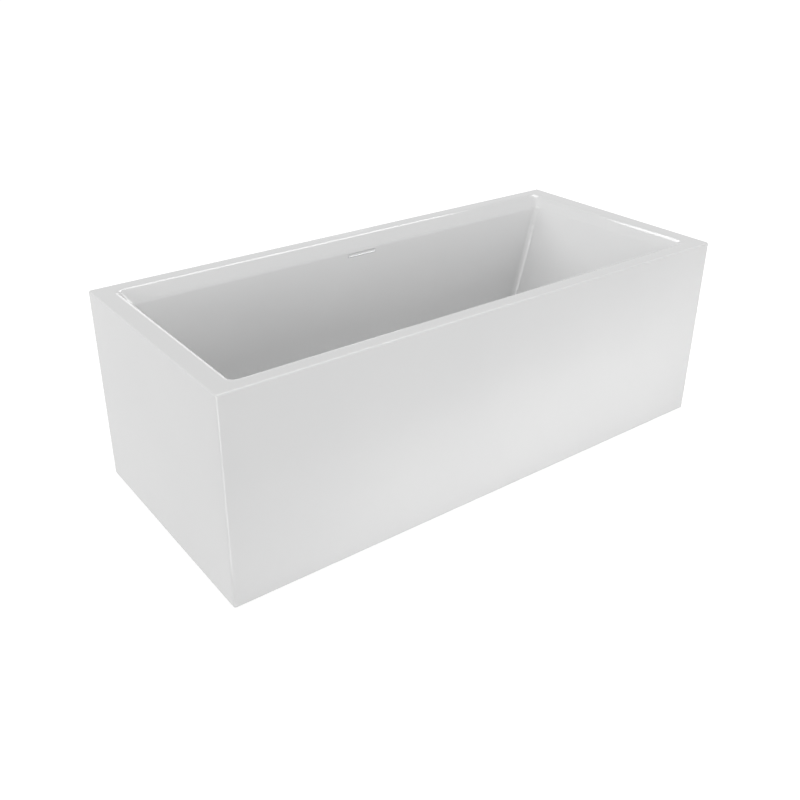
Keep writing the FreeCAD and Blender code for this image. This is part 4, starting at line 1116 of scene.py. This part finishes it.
def makeStud(name, at, corner):
    s = stud
    core, shank, start = s["core"], s["shank"], s["threadFrom"]
    low, top, tip = foot["sole"], s["top"], s["tipChamfer"]
    profile = [(0, low), (s["shankEnd"], low), (shank, low + s["shankChamfer"]),
               (shank, start - s["neckFrom"]), (core, start - s["neckTo"]),
               (core, top - tip), (core - tip, top), (0, top)]
    bm = bmesh.new()
    spinProfile(bm, profile, s["steps"], at)
    mesh = threaded(closedObject("studCore", bm), s, top, at)
    addMesh(name, mesh, "fastener_steel", "foot_" + corner, ["foot_stud_" + corner])


def makeFeet():
    f = foot
    lockNuts = bmesh.new()
    for corner, (end, side) in cornerSigns.items():
        at = (end * f["x"], side * f["y"])
        makePad(camelName("foot_pad_" + corner), at, corner)
        makeStud(camelName("foot_stud_" + corner), at, corner)
        bm = bmesh.new()
        facetedBlock(bm, f["nutSides"], f["nutCorner"], *f["nut"], at, f["bore"])
        node = "adjusting_nut_" + corner
        addPiece(camelName(node), bm, "fastener_steel", "nut_" + corner, [node])
        facetedBlock(lockNuts, f["nutSides"], f["nutCorner"], *f["lockNut"], at, f["bore"])
    addPiece("lockNuts", lockNuts, "fastener_steel", "tub", ["lock_nuts"])
    print("feet made")


# waste and plug: domed cap, and a faceted nut under the floor

waste = {
    "nutSides": 8, "nutCorner": 0.037, "nutBore": 0.02355, "nut": (0.120, 0.128),
    "capRadius": 0.033, "capLow": 0.1405, "capEdge": 0.0016, "capTall": 0.004,
    "capRounds": (0, 0, 0, 0.0006, 0.0008, 0.0006, 0.0008, 0), "boss": 0.006, "bossDepth": 0.006,
    "stem": 0.003, "domeReachShare": 0.955, "domeDropShare": 0.62, "domePower": 3, "domeSteps": 12,
    "steps": 72, "smoothTo": 40,
}


def makeWaste():
    w = waste
    centre = (0.0, tub["drainY"])
    bm = bmesh.new()
    facetedBlock(bm, w["nutSides"], w["nutCorner"], *w["nut"], centre, w["nutBore"])
    addPiece("wasteLocknut", bm, slotOf["waste_locknut"], "tub", ["waste_locknut"])
    low = w["capLow"]
    edge = low + w["capEdge"]
    top = low + w["capTall"]
    bossLow = low - w["bossDepth"]
    rim, boss, stem = w["capRadius"], w["boss"], w["stem"]
    reach = rim * w["domeReachShare"]
    drop = (top - edge) * w["domeDropShare"]
    under = [(0, edge), (stem, edge), (stem, bossLow), (boss, bossLow), (boss, low), (rim, low), (rim, edge),
             (reach, top - drop)]
    shares = [1 - k / w["domeSteps"] for k in range(1, w["domeSteps"] + 1)]
    dome = [(reach * share, top - drop * share ** w["domePower"]) for share in shares]
    bm = bmesh.new()
    spinProfile(bm, roundedProfile(under, w["capRounds"]) + dome, w["steps"], centre)
    addPiece("plugCap", bm, slotOf["plug_cap"], "plug", ["plug_cap"], w["smoothTo"])
    print("waste and plug made")


# union nuts on the overflow pipe, ribbed for grip

unionNut = {
    "outer": 0.0188, "bore": 0.0143, "long": 0.022, "steps": 60,
    "rounds": (0, 0.0006, 0.0014, 0.0014, 0.0006, 0),
    "rib": 0.020, "ribs": 20, "ribThick": 0.0026, "ribSink": 0.0010, "ribShort": 0.004, "ribInset": 0.0001,
    "ribRound": 0.0006, "ribRoundSteps": 2,
    "lowerAt": (0.0, 0.13105, 0.062), "upperDown": 0.056, "upperOut": 0.004,
}


def gripTemplate():
    u = unionNut
    bm = bmesh.new()
    block = bmesh.ops.create_cube(bm, size=1.0)["verts"]
    reach = u["rib"] - u["outer"] + u["ribSink"]
    bmesh.ops.scale(bm, vec=(reach, u["ribThick"], u["long"] - u["ribShort"]), verts=block)
    bmesh.ops.translate(bm, vec=(u["rib"] - reach / 2 - u["ribInset"], 0, 0), verts=block)
    roundEdges(bm, bm.edges[:], u["ribRound"], u["ribRoundSteps"])
    return looseObject("nutRib", bm)


def makeUnionNuts():
    u = unionNut
    bore, outer, half = u["bore"], u["outer"], u["long"] / 2
    depth = wallThick + u["upperOut"] + u["rib"]
    nuts = {
        "pipe_nut_lower": (Vector(u["lowerAt"]), Vector((0, 1, 0))),
        "pipe_nut_upper": (inOverflow(0, u["upperDown"], depth), overflowDown),
    }
    ring = [(bore, 0), (bore, -half), (outer, -half), (outer, half), (bore, half), (bore, 0)]
    for node, (at, axis) in nuts.items():
        bm = bmesh.new()
        spinProfile(bm, roundedProfile(ring, u["rounds"])[:-1], u["steps"], closed=True)
        base = closedObject("nutRing", bm)
        mesh = copiesAt(camelName(node), spokes((0, 0, 0), u["ribs"]), gripTemplate(), "waste_plastic", base)
        mesh.transform(Matrix.Translation(at) @ axis.to_track_quat("Z", "Y").to_matrix().to_4x4())
        addMesh(camelName(node), mesh, slotOf[node], "tub", [node])
    print("union nuts made")


setStudio()
makeBasin()
makeSkirt()
makeTrim()
makePlainNodes()
makeWelds()
makeScrews()
makeFeet()
makeWaste()
makeUnionNuts()
